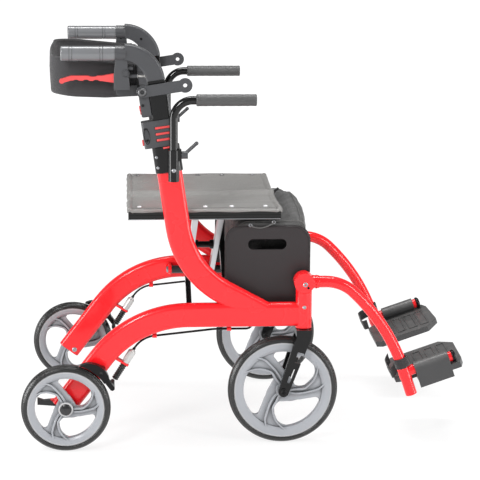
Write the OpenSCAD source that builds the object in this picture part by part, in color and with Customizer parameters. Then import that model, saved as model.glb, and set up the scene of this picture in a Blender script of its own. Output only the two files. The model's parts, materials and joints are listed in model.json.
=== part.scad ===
// Rollator and transport chair in one: folding aluminium side frames, caster wheels,
// height-adjustable handles with brakes, sling seat, flip-over backrest and swing-away footrests.
// Millimetres. +X is forward, +Y is the user's left, +Z is up, floor at Z = 0.
// Side pieces are drawn once, for the right side (negative Y), and mirrored for the left.

/* [Wheels] */
// Front wheel diameter over the tyre
front_wheel_d = 254; // [200:1:300]
// Rear wheel diameter over the tyre
rear_wheel_d = 203.2; // [160:1:254]
// Tyre width
tyre_w = 28; // [22:1:36]
// Tyre height above the rim
tyre_h = 13.5; // [10:0.5:18]
// Hub diameter
hub_d = 33; // [31:1:50]
// Rear hub cap diameter
cap_d = 26; // [20:1:30]
// Hub width
hub_w = 32; // [30:1:38]
// Rear axle diameter
rear_axle_d = 12; // [8:1:16]
// Front axle diameter
front_axle_d = 10; // [8:1:14]
// Rear wheel centre, out from the side frame's centre plane
rear_out = 38; // [34:1:50]

/* [Side frame] */
// Side frame's centre plane, from the middle of the chair
frame_y = 240; // [220:1:280]
// Main tube height in the frame's plane
bar_h = 56; // [44:1:64]
// Lower tube thickness across
bar_t = 28.6; // [24:0.1:34]
// Upright tube thickness across
upright_t = 28; // [26.6:0.1:33]
// Corner radius of the oval tubes
tube_r = 12; // [6:0.5:13]
// Lower tube's centre height
bar_z = 305.5; // [280:0.5:340]
// Start of the rear leg's bend, behind the front axle
leg_bend_x = 217; // [180:1:260]
// Bend radius of the rear leg
leg_r = 250; // [200:1:300]
// Slope of the rear leg
leg_angle = 52.5; // [40:0.5:65]
// Leg length past the rear axle
leg_end = 15; // [12:1:24]
// Upper end of the upright's bend, behind the front axle
bend_x = 240.5; // [220:0.1:260]
// Upper end of the upright's bend, above the floor
bend_z = 509.6; // [490:0.1:530]
// Backward lean of the upright
upright_tilt = 8.4; // [4:0.1:12]
// Bend radius of the upright
upright_r = 209.5; // [160:0.5:260]
// Slope of the upright's foot where it meets the lower tube
foot_slope = 28.7; // [20:0.1:40]
// Upright's end above the black sleeve's foot
upright_up = 56; // [40:1:80]
// Head tube diameter
head_d = 37; // [30:1:44]
// Head tube axis ahead of the front axle
trail = 46; // [30:1:60]
// Head tube's lower end
head_low = 274; // [268:0.5:280]
// Caster stem diameter
stem_d = 20; // [14:1:24]
// Curb lever length behind the rear axle
curb_len = 66; // [50:1:80]

/* [Cross brace] */
// Lower pivots, from the middle of the chair
pivot_y = 204; // [180:1:208]
// Centre pivot height
centre_z = 416; // [380:1:440]
// Brace bar width along the chair
brace_w = 12; // [8:0.5:14]
// Brace bar height
brace_h = 22; // [16:1:26]
// Front brace bar, behind the front axle
brace_front_x = 128; // [122:1:134]
// Rear brace bar, behind the front axle
brace_rear_x = 214; // [200:1:224]
// Pivot bolt diameter
brace_pin_d = 12; // [8:1:14]
// Lower pivot tube diameter
pivot_tube_d = 20; // [17:1:24]
// Pivot tab thickness
tab_t = 8; // [5:1:12]

/* [Seat] */
// Seat rail's rear end, behind the front axle
rail_rear = 352; // [330:1:370]
// Seat rail length
rail_len = 346; // [300:1:360]
// Seat rail width
rail_w = 30; // [24:1:32]
// Seat rail height
rail_h = 23; // [18:1:28]
// Seat rail's underside height
rail_z = 522; // [500:1:540]
// Seat cloth thickness
sling_t = 3; // [2:0.5:5]
// Sag of the seat cloth
sling_sag = 9; // [0:1:16]
// Hem past each rail end
sling_over = 2; // [0:0.5:6]

/* [Handle] */
// Inner column depth
column_d = 40; // [34:1:44]
// Inner column thickness
column_t = 22; // [16:1:22]
// Column wall
column_wall = 3; // [2:0.5:4]
// Column's foot above the upright's bend
column_foot = 12.7; // [8:0.1:20]
// Handle grip height
grip_z = 900.7; // [880:0.1:940]
// Grip height above the black sleeve's foot
grip_rise = 267.7; // [240:0.1:290]
// Grip length
grip_len = 119; // [100:1:140]
// Grip diameter
grip_d = 33; // [28:1:38]
// Handle core diameter
core_d = 22; // [16:1:24]
// Elbow bend radius
elbow_r = 67.9; // [60:0.1:76]
// Elbow depth
elbow_h = 42; // [36:1:46]
// Elbow thickness
elbow_t = 30; // [24:0.5:30]
// Lever housing thickness
housing_t = 22; // [18:0.5:24]
// Brake lever thickness
lever_t = 12; // [8:0.5:12]
// Height clamp height
clamp_h = 60; // [50:1:60]
// Height clamp thickness
clamp_t = 30; // [27:0.5:30]

/* [Backrest] */
// Backrest pivot below the column's top
back_drop = 20; // [14:1:26]
// Backrest arm length
arm_len = 95.5; // [80:0.5:110]
// Backrest arm thickness
arm_t = 5; // [3:0.5:5]
// Arm boss radius
boss_r = 16; // [12:0.5:18]
// Hole in the arm's boss
boss_hole_d = 9; // [6:0.5:12]
// Pivot pin diameter
back_pin_d = 10; // [6:0.5:12]
// Band reach behind the pivot
band_reach = 208; // [160:1:240]
// Band thickness
band_t = 8; // [5:0.5:12]
// Band corner radius
band_r = 70; // [30:1:100]

/* [Armrest] */
// Armrest post, out from the side frame's centre plane
arm_out = 32; // [32:0.5:40]
// Armrest post ahead of the upright
arm_fore = 7.7; // [2:0.1:12]
// Armrest tube diameter
arm_d = 19; // [16:0.5:19]
// Armrest height above the black sleeve's foot
arm_up = 168.4; // [150:0.1:200]
// Armrest bend radius
arm_r = 42; // [30:1:50]
// Armrest pad length
pad_len = 133; // [110:1:160]
// Armrest pad diameter
pad_d = 26.5; // [24:0.5:32]
// Armrest socket diameter
socket_d = 24.5; // [23.5:0.5:28]

/* [Footrest] */
// Hanger tube diameter
hanger_d = 27; // [22:0.5:28]
// Hanger height at the knuckle
hanger_z = 380.7; // [372:0.1:390]
// Start of the hanger's first bend, ahead of the front axle
hanger_x = 95.5; // [86:0.5:120]
// First bend radius
hanger_r1 = 95; // [70:1:130]
// First bend angle
hanger_a1 = 43.8; // [30:0.1:55]
// Second bend radius
hanger_r2 = 475; // [350:1:600]
// Final slope of the hanger
hanger_a2 = 71; // [62:0.5:80]
// Straight hanger end
hanger_end = 59; // [50:1:80]
// Depth of the open tube end
hanger_bore = 26; // [15:1:35]
// Foot bar's place along the straight end
bar_at = 4; // [3:1:20]
// Foot bar diameter
foot_bar_d = 24; // [18:0.5:25]
// Foot bar length from the hanger's axis
foot_bar_len = 117; // [112:1:130]
// Footplate width across
plate_w = 170; // [120:1:172]
// Footplate toe, from the hanger's axis
plate_toe = 141; // [132:1:160]
// Footplate heel, behind the hanger's axis
plate_heel = 24; // [15:1:30]
// Footplate thickness
plate_t = 14; // [8:0.5:18]
// Hinge sleeve's wall
sleeve_wall = 4; // [3:0.5:5]
// Hinge sleeve length
sleeve_len = 82; // [60:1:86]
// Hinge sleeve's start along the foot bar
sleeve_at = 25; // [22:1:28]
// Heel strap width
strap_w = 24; // [16:1:24]
// Heel strap thickness
strap_t = 1.8; // [1.2:0.1:2]
// Heel strap's loop, back from the hanger's axis
loop_back = 38; // [36:1:50]
// Heel strap's loop, across the footplate
loop_w = 90; // [60:1:90]

/* [Bag] */
// Bag's back, behind the front axle
bag_rear = 111; // [100:1:120]
// Bag's underside height
bag_low = 326; // [322:1:340]
// Bag height
bag_h = 190; // [170:1:190]
// Bag cloth thickness
bag_t = 3; // [2:0.5:5]
// Lid depth along the chair
lid_w = 50; // [40:1:54]
// Lid height
lid_h = 134; // [110:1:150]
// Side panel length
panel_w = 196; // [180:1:200]
// Side panel height
panel_h = 183; // [160:1:190]
// Side panel corner radius
panel_r = 34; // [20:1:40]
// Side panel thickness
panel_t = 4; // [3:0.5:5]
// Side panel's middle, behind the front axle
panel_x = 35; // [30:1:40]
// Hand slot length
slot_w = 88; // [80:1:100]
// Hand slot height
slot_h = 24; // [22:0.5:28]
// Hand slot above the panel's middle
slot_up = 48.5; // [40:0.5:55]

/* [Hidden] */
$fn = 64;
// Clearance between pieces that are fixed together
gap = 0.3;
// Radial clearance of a running fit
run = 0.05;
// How far straight lengths run into a bend
lap = 1;
// How much thinner a bend is drawn than its straight lengths, each side
bend_step = 0.1;
front_r = front_wheel_d / 2;
rear_r = rear_wheel_d / 2;
rim_front_r = front_r - tyre_h;
rim_rear_r = rear_r - tyre_h;
leg_centre = [-leg_bend_x, bar_z - leg_r];
leg_start = leg_centre + leg_r * [cos(90 + leg_angle), sin(90 + leg_angle)];
leg_len = (leg_start[1] - rear_r) / sin(leg_angle);
wheelbase = -leg_start[0] + leg_len * cos(leg_angle);
rear_y = frame_y + rear_out;
upright_dir = 90 + upright_tilt;
upright_z = grip_z - grip_rise;
upright_drop = (upright_z - bend_z) / cos(upright_tilt);
upright_x = bend_x + upright_drop * sin(upright_tilt);
up_bend = [-bend_x, bend_z];
up_centre = up_bend + upright_r * [cos(upright_tilt), sin(upright_tilt)];
up_a0 = 180 + upright_tilt;
up_a1 = 270 - foot_slope;
up_foot = up_centre + upright_r * [cos(up_a1), sin(up_a1)];
foot_len = (up_foot[1] - bar_z) / sin(foot_slope) + 3;
frame_in = frame_y - bar_t / 2;
knuckle_r = 23;
knuckle_w = 34;
head_high = hanger_z - knuckle_r - gap;
// The hanger's spigot and the caster's stem share the head tube, clear of each other
spigot_len = 40;
stem_gap = 8;
stem_top = head_high - spigot_len - stem_gap;
// The panel stands clear of the knuckle as the hanger swings
panel_y = frame_y - norm([knuckle_r, knuckle_w / 2]) - 1.4;
bag_hw = panel_y - panel_t - gap;
brace_a = atan2(centre_z - bar_z, pivot_y);
brace_len = 2 * norm([pivot_y, centre_z - bar_z]) + 30;
silver_front_x = brace_front_x + brace_w + 2;
silver_rear_x = brace_rear_x - brace_w - 2;
tab_front_x = brace_front_x - brace_w / 2 - 27;
tab_rear_x = brace_rear_x + brace_w / 2 + 27;
rail_y = pivot_y + 1;
rail_top = rail_z + rail_h;
rail_front = rail_len - rail_rear;
bag_front = rail_front + 57;
bag_top = bag_low + bag_h;
lid_top = rail_z + 15;
panel_z = bar_z + 108;
sling_hw = rail_y + rail_w / 2 + 1;
column_dir = [-sin(upright_tilt), cos(upright_tilt)];
column_low = upright_drop - column_foot;
column_top = (grip_rise - elbow_r * (1 - sin(upright_tilt))) / cos(upright_tilt);
elbow_start = [-upright_x, upright_z] + column_top * column_dir;
elbow_c = elbow_start - elbow_r * [cos(upright_tilt), sin(upright_tilt)];
collar_w = 25;
grip_front = elbow_c[0] + 4 - collar_w;
lever_pivot = [grip_front + 15, grip_z - 54];
clamp_low = upright_up + 8;
sleeve_t = upright_t + 6;
arm_x = upright_x - arm_fore;
arm_z = upright_z + arm_up;
socket_top = upright_z + 58;
socket_low = upright_z - 12;
back_pivot_up = column_top - back_drop;
back_x = -column_d / 2 - 13;
back_pivot = [-upright_x, upright_z] + back_pivot_up * column_dir
  + back_x * [cos(upright_tilt), sin(upright_tilt)];
arm_y = frame_y + clamp_t / 2 + 1.5;
plate_in_y = frame_y - elbow_t / 2 - 1.5;
band_y = plate_in_y - 3 - gap;
arm_tilt = 8.7;
hang_c1 = [hanger_x, hanger_z - hanger_r1];
hang_p1 = hang_c1 + hanger_r1 * [sin(hanger_a1), cos(hanger_a1)];
hang_c2 = hang_p1 - hanger_r2 * [sin(hanger_a1), cos(hanger_a1)];
hang_p2 = hang_c2 + hanger_r2 * [sin(hanger_a2), cos(hanger_a2)];
foot_a = 90 - hanger_a2;
foot_at = hang_p2 + bar_at * [cos(hanger_a2), -sin(hanger_a2)];
plate_top = -foot_bar_d / 2 - 1.5;
plate_low = plate_top - plate_t;
toe_x = foot_at[0] + plate_toe * cos(foot_a) - plate_low * sin(foot_a);
ax_f = (wheelbase + rear_r - toe_x) / 2;
brake_pivot = [-wheelbase + 80.5, rear_r + 82];
lug = [-wheelbase + 105.5, rear_r + 46];
lug_d = 10;
cable_y = frame_y - 4;
cable_d = 5;
// The cable's adjuster hangs under the rear leg's bend, in line with the brake arm's lug
adjust_low = leg_centre + (leg_r - bar_h / 2 - 21.9) * [cos(136.76), sin(136.76)];
adjust_a = atan2(adjust_low[1] - lug[1], adjust_low[0] - lug[0]);
adjust_len = 42;
adjust_t = 5;
adjust_top = adjust_low + adjust_len * [cos(adjust_a), sin(adjust_a)];
// The cable bends up to the lower tube, runs along under it and turns into it
cable_z = bar_z - bar_h / 2 - 6.6;
cable_slope = 6;
cable_r1 = 61.9;
cable_r2 = 150;
cable_r3 = 16;
cable_c1 = adjust_top + cable_r1 * [sin(adjust_a), -cos(adjust_a)];
cable_p1 = cable_c1 + cable_r1 * [-sin(cable_slope), cos(cable_slope)];
cable_run = (cable_z - cable_r2 * (1 - cos(cable_slope)) - cable_p1[1]) / sin(cable_slope);
cable_c2 = cable_p1 + cable_run * [cos(cable_slope), sin(cable_slope)]
  + cable_r2 * [sin(cable_slope), -cos(cable_slope)];
cable_c3 = [-85.5, cable_z + cable_r3];
cable_end_a = 338;
leg_under = leg_centre[1] + sqrt(pow(leg_r - bar_h / 2, 2) - pow(cable_p1[0] - leg_centre[0], 2));
// The brake arm's travel stays clear of the bellows
bellows_at = lug_d / 2 + 1.7;
bellows_len = norm(adjust_low - lug) - bellows_at - adjust_t / 2 - 0.8;
sleeve_r = foot_bar_d / 2 + sleeve_wall;
// Room for the hanger's bend inside the heel strap's band
strap_in = hanger_d / 2 + 1.2;
strap_y = strap_in + loop_w / 2;
loop_r = 11.5;

module rr(w, h, r) {
  square([w - 2 * r, h], center = true);
  square([w, h - 2 * r], center = true);
  for (x = [-1, 1], y = [-1, 1])
    translate([x * (w / 2 - r), y * (h / 2 - r)]) circle(r);
}

module along(p, a) translate([p[0], 0, p[1]]) rotate([0, -a, 0]) children();

// Straight lengths run a little into the bends, which are drawn a hair thinner
module oval_seg(len, h, t, r)
  translate([-lap, 0, 0]) rotate([90, 0, 90]) linear_extrude(len + 2 * lap) rr(t, h, r);

module oval_arc(c, rad, a0, a1, h, t, r)
  translate([c[0], 0, c[1]]) rotate([90, 0, 0]) rotate([0, 0, a0])
    rotate_extrude(angle = a1 - a0) translate([rad, 0]) rr(h - 2 * bend_step, t - 2 * bend_step, r - bend_step);

module rod(len, d) rotate([0, 90, 0]) cylinder(h = len, d = d);

module rod_seg(len, d) translate([-lap, 0, 0]) rod(len + 2 * lap, d);

module rod_arc(c, rad, a0, a1, d)
  translate([c[0], 0, c[1]]) rotate([90, 0, 0]) rotate([0, 0, a0])
    rotate_extrude(angle = a1 - a0) translate([rad, 0]) circle(d = d - 2 * bend_step);

// A pin or bore across the chair, from y0 outward to y1, at a point of the side view
module across(p, y0, y1, d) translate([p[0], -y0, p[1]]) rotate([90, 0, 0]) cylinder(h = y1 - y0, d = d);

// A flat outline in the side view, from y0 outward to y1
module side_plate(y0, y1) translate([0, -y0, 0]) rotate([90, 0, 0]) linear_extrude(y1 - y0) children();

// A straight flat bar between two points of the side view
module link(a, b, w)
  translate(a) rotate(atan2(b[1] - a[1], b[0] - a[0])) translate([0, -w / 2]) square([norm(b - a), w]);

module in_frame() translate([0, -frame_y, 0]) children();

module on_column() translate([-upright_x, -frame_y, upright_z]) rotate([0, -upright_tilt, 0]) children();

module on_foot() translate([foot_at[0], -frame_y, foot_at[1]]) rotate([0, -foot_a, 0]) children();

module right() translate([ax_f, 0, 0]) children();

module left() translate([ax_f, 0, 0]) mirror([0, 1, 0]) children();

module middle() translate([ax_f, 0, 0]) children();

// Side frame: lower tube and rear leg, J-shaped upright, head tube, tabs, clips and pins

module pivot_tab(x)
  translate([-x - tab_t / 2, 0, bar_z]) difference() {
    union() {
      translate([0, -frame_in - 2, -12]) cube([tab_t, frame_in - pivot_y + 2, 24]);
      translate([0, -pivot_y, 0]) rod(tab_t, 24);
    }
    translate([-1, -pivot_y, 0]) rod(tab_t + 2, brace_pin_d + 2 * run);
  }

module cable_clip(p, reach)
  translate([p[0] - 5, -cable_y, p[1]]) difference() {
    union() {
      rod(10, cable_d + 5);
      translate([0, -2, 0]) cube([10, 4, reach]);
    }
    translate([-1, 0, 0]) rod(12, cable_d + 2);
  }

module adjuster_lug()
  translate([0, -cable_y, 0]) along(adjust_low, adjust_a) difference() {
    translate([-adjust_t / 2, -8, -9]) cube([adjust_t, 16, 38]);
    translate([-adjust_t, 0, 0]) rod(2 * adjust_t, 7);
  }

module frame_solid() in_frame() {
  along([-leg_bend_x, bar_z], 0) oval_seg(leg_bend_x + trail, bar_h, bar_t, tube_r);
  oval_arc(leg_centre, leg_r, 90, 90 + leg_angle, bar_h, bar_t, tube_r);
  along(leg_start, 180 + leg_angle) oval_seg(leg_len + leg_end, bar_h, bar_t, tube_r);
  along(up_bend, upright_dir) oval_seg(upright_drop + upright_up, bar_h, upright_t, tube_r);
  oval_arc(up_centre, upright_r, up_a0, up_a1, bar_h, upright_t, tube_r);
  along(up_foot, -foot_slope) oval_seg(foot_len, bar_h, upright_t, tube_r);
  translate([trail, 0, head_low]) cylinder(h = head_high - head_low, d = head_d);
}

// Tipping lever at the foot of the right leg only
module curb_lever() side_plate(frame_y - 6, frame_y + 6) translate([-wheelbase, rear_r]) polygon([
  [-curb_len, -3], [-curb_len, 12], [-curb_len + 14, 7], [-30, 9], [-14, 15],
  [-6, -8], [-30, -6], [-curb_len + 14, -4]
]);

module side_frame() {
  difference() {
    frame_solid();
    translate([trail, -frame_y, head_low - 1]) cylinder(h = head_high - head_low + 2, d = stem_d + 2 * run);
    on_column() translate([0, 0, -column_low - 6])
      linear_extrude(column_low + upright_up + 10) rr(column_d + 2 * gap, column_t + 2 * gap, 4);
    translate([cable_c3[0] + cable_r3 * cos(cable_end_a - 7), -cable_y, bar_z - bar_h / 2 - 1])
      cylinder(h = 16, d = cable_d + 7);
  }
  for (x = [tab_front_x, tab_rear_x]) pivot_tab(x);
  cable_clip(cable_p1, leg_under - cable_p1[1] + 3);
  cable_clip([cable_c3[0] - 39, cable_z], bar_z - bar_h / 2 - cable_z + 3);
  adjuster_lug();
  across([-wheelbase, rear_r], frame_y, rear_y - hub_w / 2 - 0.5, 30);
  across([-wheelbase, rear_r], frame_y, rear_y + hub_w / 2 - 1, rear_axle_d);
  across(brake_pivot, frame_y, rear_y + 6, 8);
}

// Black sleeve on the upright's top, with the armrest's socket

module sleeve() {
  on_column() difference() {
    translate([0, 0, 5.5]) linear_extrude(upright_up + 2) rr(bar_h + 6, sleeve_t, tube_r + 3);
    translate([0, 0, 5]) linear_extrude(upright_up - 5 + lap + gap)
      rr(bar_h + 2 * gap, upright_t + 2 * gap, tube_r);
    linear_extrude(upright_up + 20) rr(column_d + 2 * gap, column_t + 2 * gap, 4);
  }
  difference() {
    union() {
      translate([-arm_x, -frame_y - arm_out, socket_low])
        cylinder(h = socket_top - socket_low, d = socket_d);
      translate([-arm_x - 9, -frame_y - arm_out, upright_z + 12]) cube([18, arm_out - sleeve_t / 2 + 1.5, 40]);
      translate([-arm_x + 8, -frame_y - arm_out - 8, upright_z + 34]) cube([9, 16, 26]);
    }
    translate([-arm_x, -frame_y - arm_out, socket_low - 1])
      cylinder(h = socket_top - socket_low + 10, d = arm_d + 0.5);
  }
}

// Height clamp with its slots, and the push button in its back

module clamp() on_column() translate([0, 0, clamp_low]) difference() {
  translate([-9.5, 0, 0]) linear_extrude(clamp_h) rr(column_d + 34, clamp_t, 7);
  translate([0, 0, -1]) linear_extrude(clamp_h + 2) rr(column_d + 2 * gap, column_t + 2 * gap, 4);
  for (k = [0:2])
    translate([-18, -clamp_t / 2 - 1, 13 + k * 13.5]) cube([40, 2.6, 6]);
  translate([-38, -clamp_t / 2 - 1, 22]) rotate([-90, 0, 0]) linear_extrude(2.5) {
    circle(5);
    translate([-5, -20]) square([10, 20]);
    translate([0, -20]) circle(5);
  }
  translate([-48, 0, 13]) rod(14, 14 + 2 * run);
}

module clamp_button() on_column() translate([-50, 0, clamp_low + 13]) {
  rod(8, 14);
  rod(11, 9);
}

// Inner column, elbow with lever housing, grip and brake lever

module column() on_column() translate([0, 0, -column_low]) linear_extrude(column_low + column_top - gap)
  difference() {
    rr(column_d, column_t, 4);
    rr(column_d - 2 * column_wall, column_t - 2 * column_wall, 2);
  }

module housing_outline() polygon([
  [grip_front, grip_z - grip_d / 2 - 2], [grip_front, grip_z], [grip_front + collar_w, grip_z],
  [grip_front + 28, grip_z - 40], [grip_front + 32, grip_z - 79],
  [grip_front - 3.5, grip_z - 80], [grip_front - 3.5, grip_z - 44]
]);

module handle() {
  difference() {
    union() {
      difference() {
        in_frame() oval_arc(elbow_c, elbow_r, upright_tilt, 90, elbow_h, elbow_t, 6);
        across([elbow_c[0] - 7, elbow_c[1] + 4], frame_y - 30, frame_y + 30, 2 * (elbow_r - elbow_h / 2 + 5));
      }
      on_column() translate([0, 0, column_top - 24]) linear_extrude(30)
        rr(column_d - 2 * column_wall - 2 * gap, column_t - 2 * column_wall - 2 * gap, 2);
      translate([grip_front, -frame_y, grip_z]) rod(elbow_c[0] - grip_front + 2, grip_d + 2);
      side_plate(frame_y - housing_t / 2, frame_y + housing_t / 2) housing_outline();
    }
    translate([grip_front - 6, -frame_y - lever_t / 2 - 0.5, lever_pivot[1] - 16])
      cube([31.5, lever_t + 1, 34]);
  }
  across(lever_pivot, frame_y - housing_t / 2, frame_y + housing_t / 2, 6);
  translate([grip_front - grip_len + 8, -frame_y, grip_z]) rod(grip_len, core_d);
  translate([grip_front + 27, -frame_y, grip_z - 50]) rod(22, 9);
  translate([grip_front + 45, -frame_y, grip_z - 50]) rod(28, 4.4);
  translate([grip_front + 25, -frame_y, grip_z - 32]) rod(14, 11);
}

module grip() translate([grip_front - gap, -frame_y, grip_z]) rotate([0, -90, 0]) difference() {
  rotate_extrude() {
    square([grip_d / 2 - 3, grip_len]);
    square([grip_d / 2, grip_len - 3]);
    translate([grip_d / 2 - 3, grip_len - 3]) circle(3);
  }
  translate([0, 0, -1]) cylinder(h = grip_len - 6, d = core_d + 2 * run);
  for (z = [26, 32, 93, 99])
    translate([0, 0, z]) difference() {
      cylinder(h = 1.6, d = grip_d + 2);
      translate([0, 0, -1]) cylinder(h = 4, d = grip_d - 1.4);
    }
}

module lever_outline() {
  difference() {
    polygon([
      lever_pivot + [0, 9.5], lever_pivot + [-20, 10], lever_pivot + [-44, 5.5], lever_pivot + [-112, 5.5],
      lever_pivot + [-133, -1], lever_pivot + [-131, -10], lever_pivot + [-112, -4.5],
      lever_pivot + [-44, -6], lever_pivot + [-20, -9.5], lever_pivot + [0, -9.5]
    ]);
    translate(lever_pivot + [-57, -14]) circle(11);
    translate(lever_pivot + [-79, -14]) circle(11.5);
    translate(lever_pivot + [-101, -13.5]) circle(11);
    translate(lever_pivot + [-64, 25]) circle(22);
  }
  translate(lever_pivot) circle(9.5);
  translate(lever_pivot + [-132, -6]) circle(5.6);
}

module lever() difference() {
  side_plate(frame_y - lever_t / 2, frame_y + lever_t / 2) lever_outline();
  across(lever_pivot, frame_y - lever_t, frame_y + lever_t, 6 + 2 * run);
}

// Backrest bracket on the column, its button, and the pivoting arm

module bracket() on_column() difference() {
  union() {
    translate([-column_d / 2 - gap - 22, -11, back_pivot_up - 56]) cube([22, 22, 56]);
    translate([back_x, 11, back_pivot_up]) rotate([90, 0, 0]) cylinder(h = 22, r = 12);
  }
  translate([back_x, 20, back_pivot_up]) rotate([90, 0, 0]) cylinder(h = 40, d = back_pin_d + 2 * run);
  translate([-column_d / 2 - 24, 0, back_pivot_up - 38]) rod(12, 12 + 2 * run);
}

module back_button() on_column() translate([-column_d / 2 - 25, 0, back_pivot_up - 38]) rod(9, 12);

module arm_outline(len, w, end_r) {
  circle(w / 2);
  translate([0, -w / 2]) square([len, w]);
  translate([len, 0]) circle(end_r);
}

module back_arm() {
  translate([back_pivot[0], 0, back_pivot[1]]) rotate([0, -arm_tilt, 0]) difference() {
    side_plate(arm_y, arm_y + arm_t) arm_outline(arm_len, 25, boss_r);
    across([arm_len, 0], arm_y - 1, arm_y + arm_t + 1, boss_hole_d);
  }
  across(back_pivot, plate_in_y - 1, arm_y + 1, back_pin_d);
  across(back_pivot, frame_y + 11 + gap, arm_y + 1, 18);
  across(back_pivot, plate_in_y - 1, frame_y - 11 - gap, 18);
  translate([back_pivot[0], 0, back_pivot[1]]) rotate([0, 176, 0])
    side_plate(plate_in_y - 3, plate_in_y) arm_outline(46, 24, 12);
}

// Armrest tube, its pad and the clamp lever on its socket

module armrest() translate([-arm_x, -frame_y - arm_out, 0]) {
  translate([0, 0, socket_low + 5]) cylinder(h = arm_z - arm_r - socket_low - 5 + lap, d = arm_d);
  rod_arc([arm_r, arm_z - arm_r], arm_r, 90, 180, arm_d);
  translate([arm_r, 0, arm_z]) rod_seg(pad_len + 2, arm_d);
}

module armrest_pad()
  translate([-arm_x + arm_r + 8, -frame_y - arm_out, arm_z]) rotate([0, 90, 0]) difference() {
  rotate_extrude() {
    square([pad_d / 2 - 2, pad_len]);
    translate([0, 2]) square([pad_d / 2, pad_len - 4]);
    for (z = [2, pad_len - 2]) translate([pad_d / 2 - 2, z]) circle(2);
  }
  translate([0, 0, -1]) cylinder(h = pad_len - 2.5, d = arm_d + 2 * run);
}

module clamp_lever() translate([-arm_x + 17 + gap, -frame_y - arm_out, upright_z + 47]) {
  rod(14, 17);
  translate([8, 0, 3]) rotate([0, 48, 0]) {
    cylinder(h = 34, d = 8);
    translate([0, 0, 34]) sphere(d = 9);
  }
}

// Wheels: three curved spokes with raised ribs, hub, rim and tyre

function se(v) = sign(v) * pow(abs(v), 0.4);

// Angles of a window's two sides and of the spoke's front rib, by share of the rim's radius
function lower_a(q) = lookup(q, [
  [0.25, 128], [0.34, 126], [0.44, 125], [0.52, 131], [0.68, 141], [0.93, 162]
]);

function upper_a(q) = lookup(q, [
  [0.25, 172], [0.37, 203], [0.56, 220], [0.7, 226], [0.93, 229]
]);

function rib_a(q) = lookup(q, [
  [0.14, 95], [0.28, 102.5], [0.4, 109], [0.54, 115], [0.73, 120.3], [0.93, 131.5]
]);

function window_pts(R) = [
  for (i = [0:47])
    let (t = 7.5 * i, p = 0.5 + 0.5 * se(cos(t)), q = 0.54 + 0.28 * se(sin(t)))
    let (a = lower_a(q) * (1 - p) + upper_a(q) * p)
    [R * q * cos(a), R * q * sin(a)]
];

function rib_pts(R, lead, w) = [
  for (s = [-1, 1], i = [0:12])
    let (q = 0.14 + (s < 0 ? i : 12 - i) * 0.065)
    let (a = (lead ? rib_a(q) : lower_a(q) - (w / 2 + 0.6) / (R * q) * 57.3) + s * w / 2 / (R * q) * 57.3)
    [R * q * cos(a), R * q * sin(a)]
];

module rim(R, axle) difference() {
  union() {
    rotate_extrude() polygon([
      [R * 0.80, -7], [R * 0.86, -10], [R - 3, -tyre_w / 2 + 1.5], [R, -tyre_w / 2 + 2],
      [R, tyre_w / 2 - 2], [R - 3, tyre_w / 2 - 1.5], [R * 0.86, 10], [R * 0.80, 7]
    ]);
    translate([0, 0, -4]) linear_extrude(8) difference() {
      circle(R * 0.83);
      for (k = [0:2]) rotate(k * 120) polygon(window_pts(R));
    }
    for (k = [0:2], lead = [true, false])
      translate([0, 0, -10]) linear_extrude(20) rotate(k * 120) polygon(rib_pts(R, lead, 5));
    translate([0, 0, -hub_w / 2]) cylinder(h = hub_w, d = hub_d);
  }
  translate([0, 0, -hub_w]) cylinder(h = 2 * hub_w, d = axle + 2 * run);
}

module tyre(R) rotate_extrude() difference() {
  union() {
    translate([R - tyre_w / 2, 0]) circle(d = tyre_w);
    translate([R - tyre_h + gap, -tyre_w / 2 + 1.2]) square([tyre_h / 2, tyre_w - 2.4]);
  }
  square([2 * (R - tyre_h + gap), 2 * tyre_w], center = true);
  for (s = [-1, 1]) translate([R - 2.2, s * 7.4]) circle(1.3);
}

module rear_wheel_at() translate([-wheelbase, -rear_y, rear_r]) rotate([90, 0, 0]) children();

module front_wheel_at() translate([0, -frame_y, front_r]) rotate([90, 0, 0]) children();

module rear_rim() rear_wheel_at() {
  rim(rim_rear_r, rear_axle_d);
  translate([0, 0, hub_w / 2 - 0.5]) difference() {
    intersection() {
      cylinder(h = 6, d = cap_d);
      translate([0, 0, -18]) sphere(r = 24);
    }
    translate([0, 0, -1]) cylinder(h = 2, d = 20);
  }
}

// Rear brake: shoe arm over the tyre, bellows and cable

// A leaf over the tyre, cut off at its lower end, with an arm down to the lug
module brake_outline() {
  difference() {
    translate([-wheelbase + 54, rear_r + 59.5]) circle(45.2);
    translate([-wheelbase, rear_r]) circle(rear_r + 3);
    translate([-wheelbase, rear_r]) rotate(33) translate([0, -rear_r]) square([2 * rear_r, rear_r]);
  }
  link([-wheelbase + 92, rear_r + 64], lug, 11);
  translate(lug) circle(5.5);
}

module brake_arm() difference() {
  union() {
    side_plate(rear_y - 8, rear_y + 8) brake_outline();
    across(brake_pivot, frame_y + bar_t / 2 + 1, rear_y, 20);
    across(lug, cable_y - 8, rear_y, lug_d);
  }
  across(brake_pivot, frame_y, rear_y + 40, 8 + 2 * run);
  translate([lug[0], -cable_y, lug[1]]) rotate([0, -adjust_a, 0]) translate([-2, 0, 0]) rod(20, 5);
}

module bellows()
  translate([0, -cable_y, 0]) along(lug, adjust_a) translate([bellows_at, 0, 0]) rotate([0, 90, 0]) {
  rotate_extrude() polygon(concat(
    [[0, 0], [5, 0]],
    [for (k = [0:16]) [k % 2 == 0 ? 5.2 : 7.6, 1 + (bellows_len - 2) * k / 16]],
    [[5, bellows_len], [0, bellows_len]]
  ));
  translate([0, 0, -6]) cylinder(h = 10, d = 2.4);
  translate([0, 0, bellows_len - 2]) cylinder(h = 5, d = 4);
}

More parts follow.
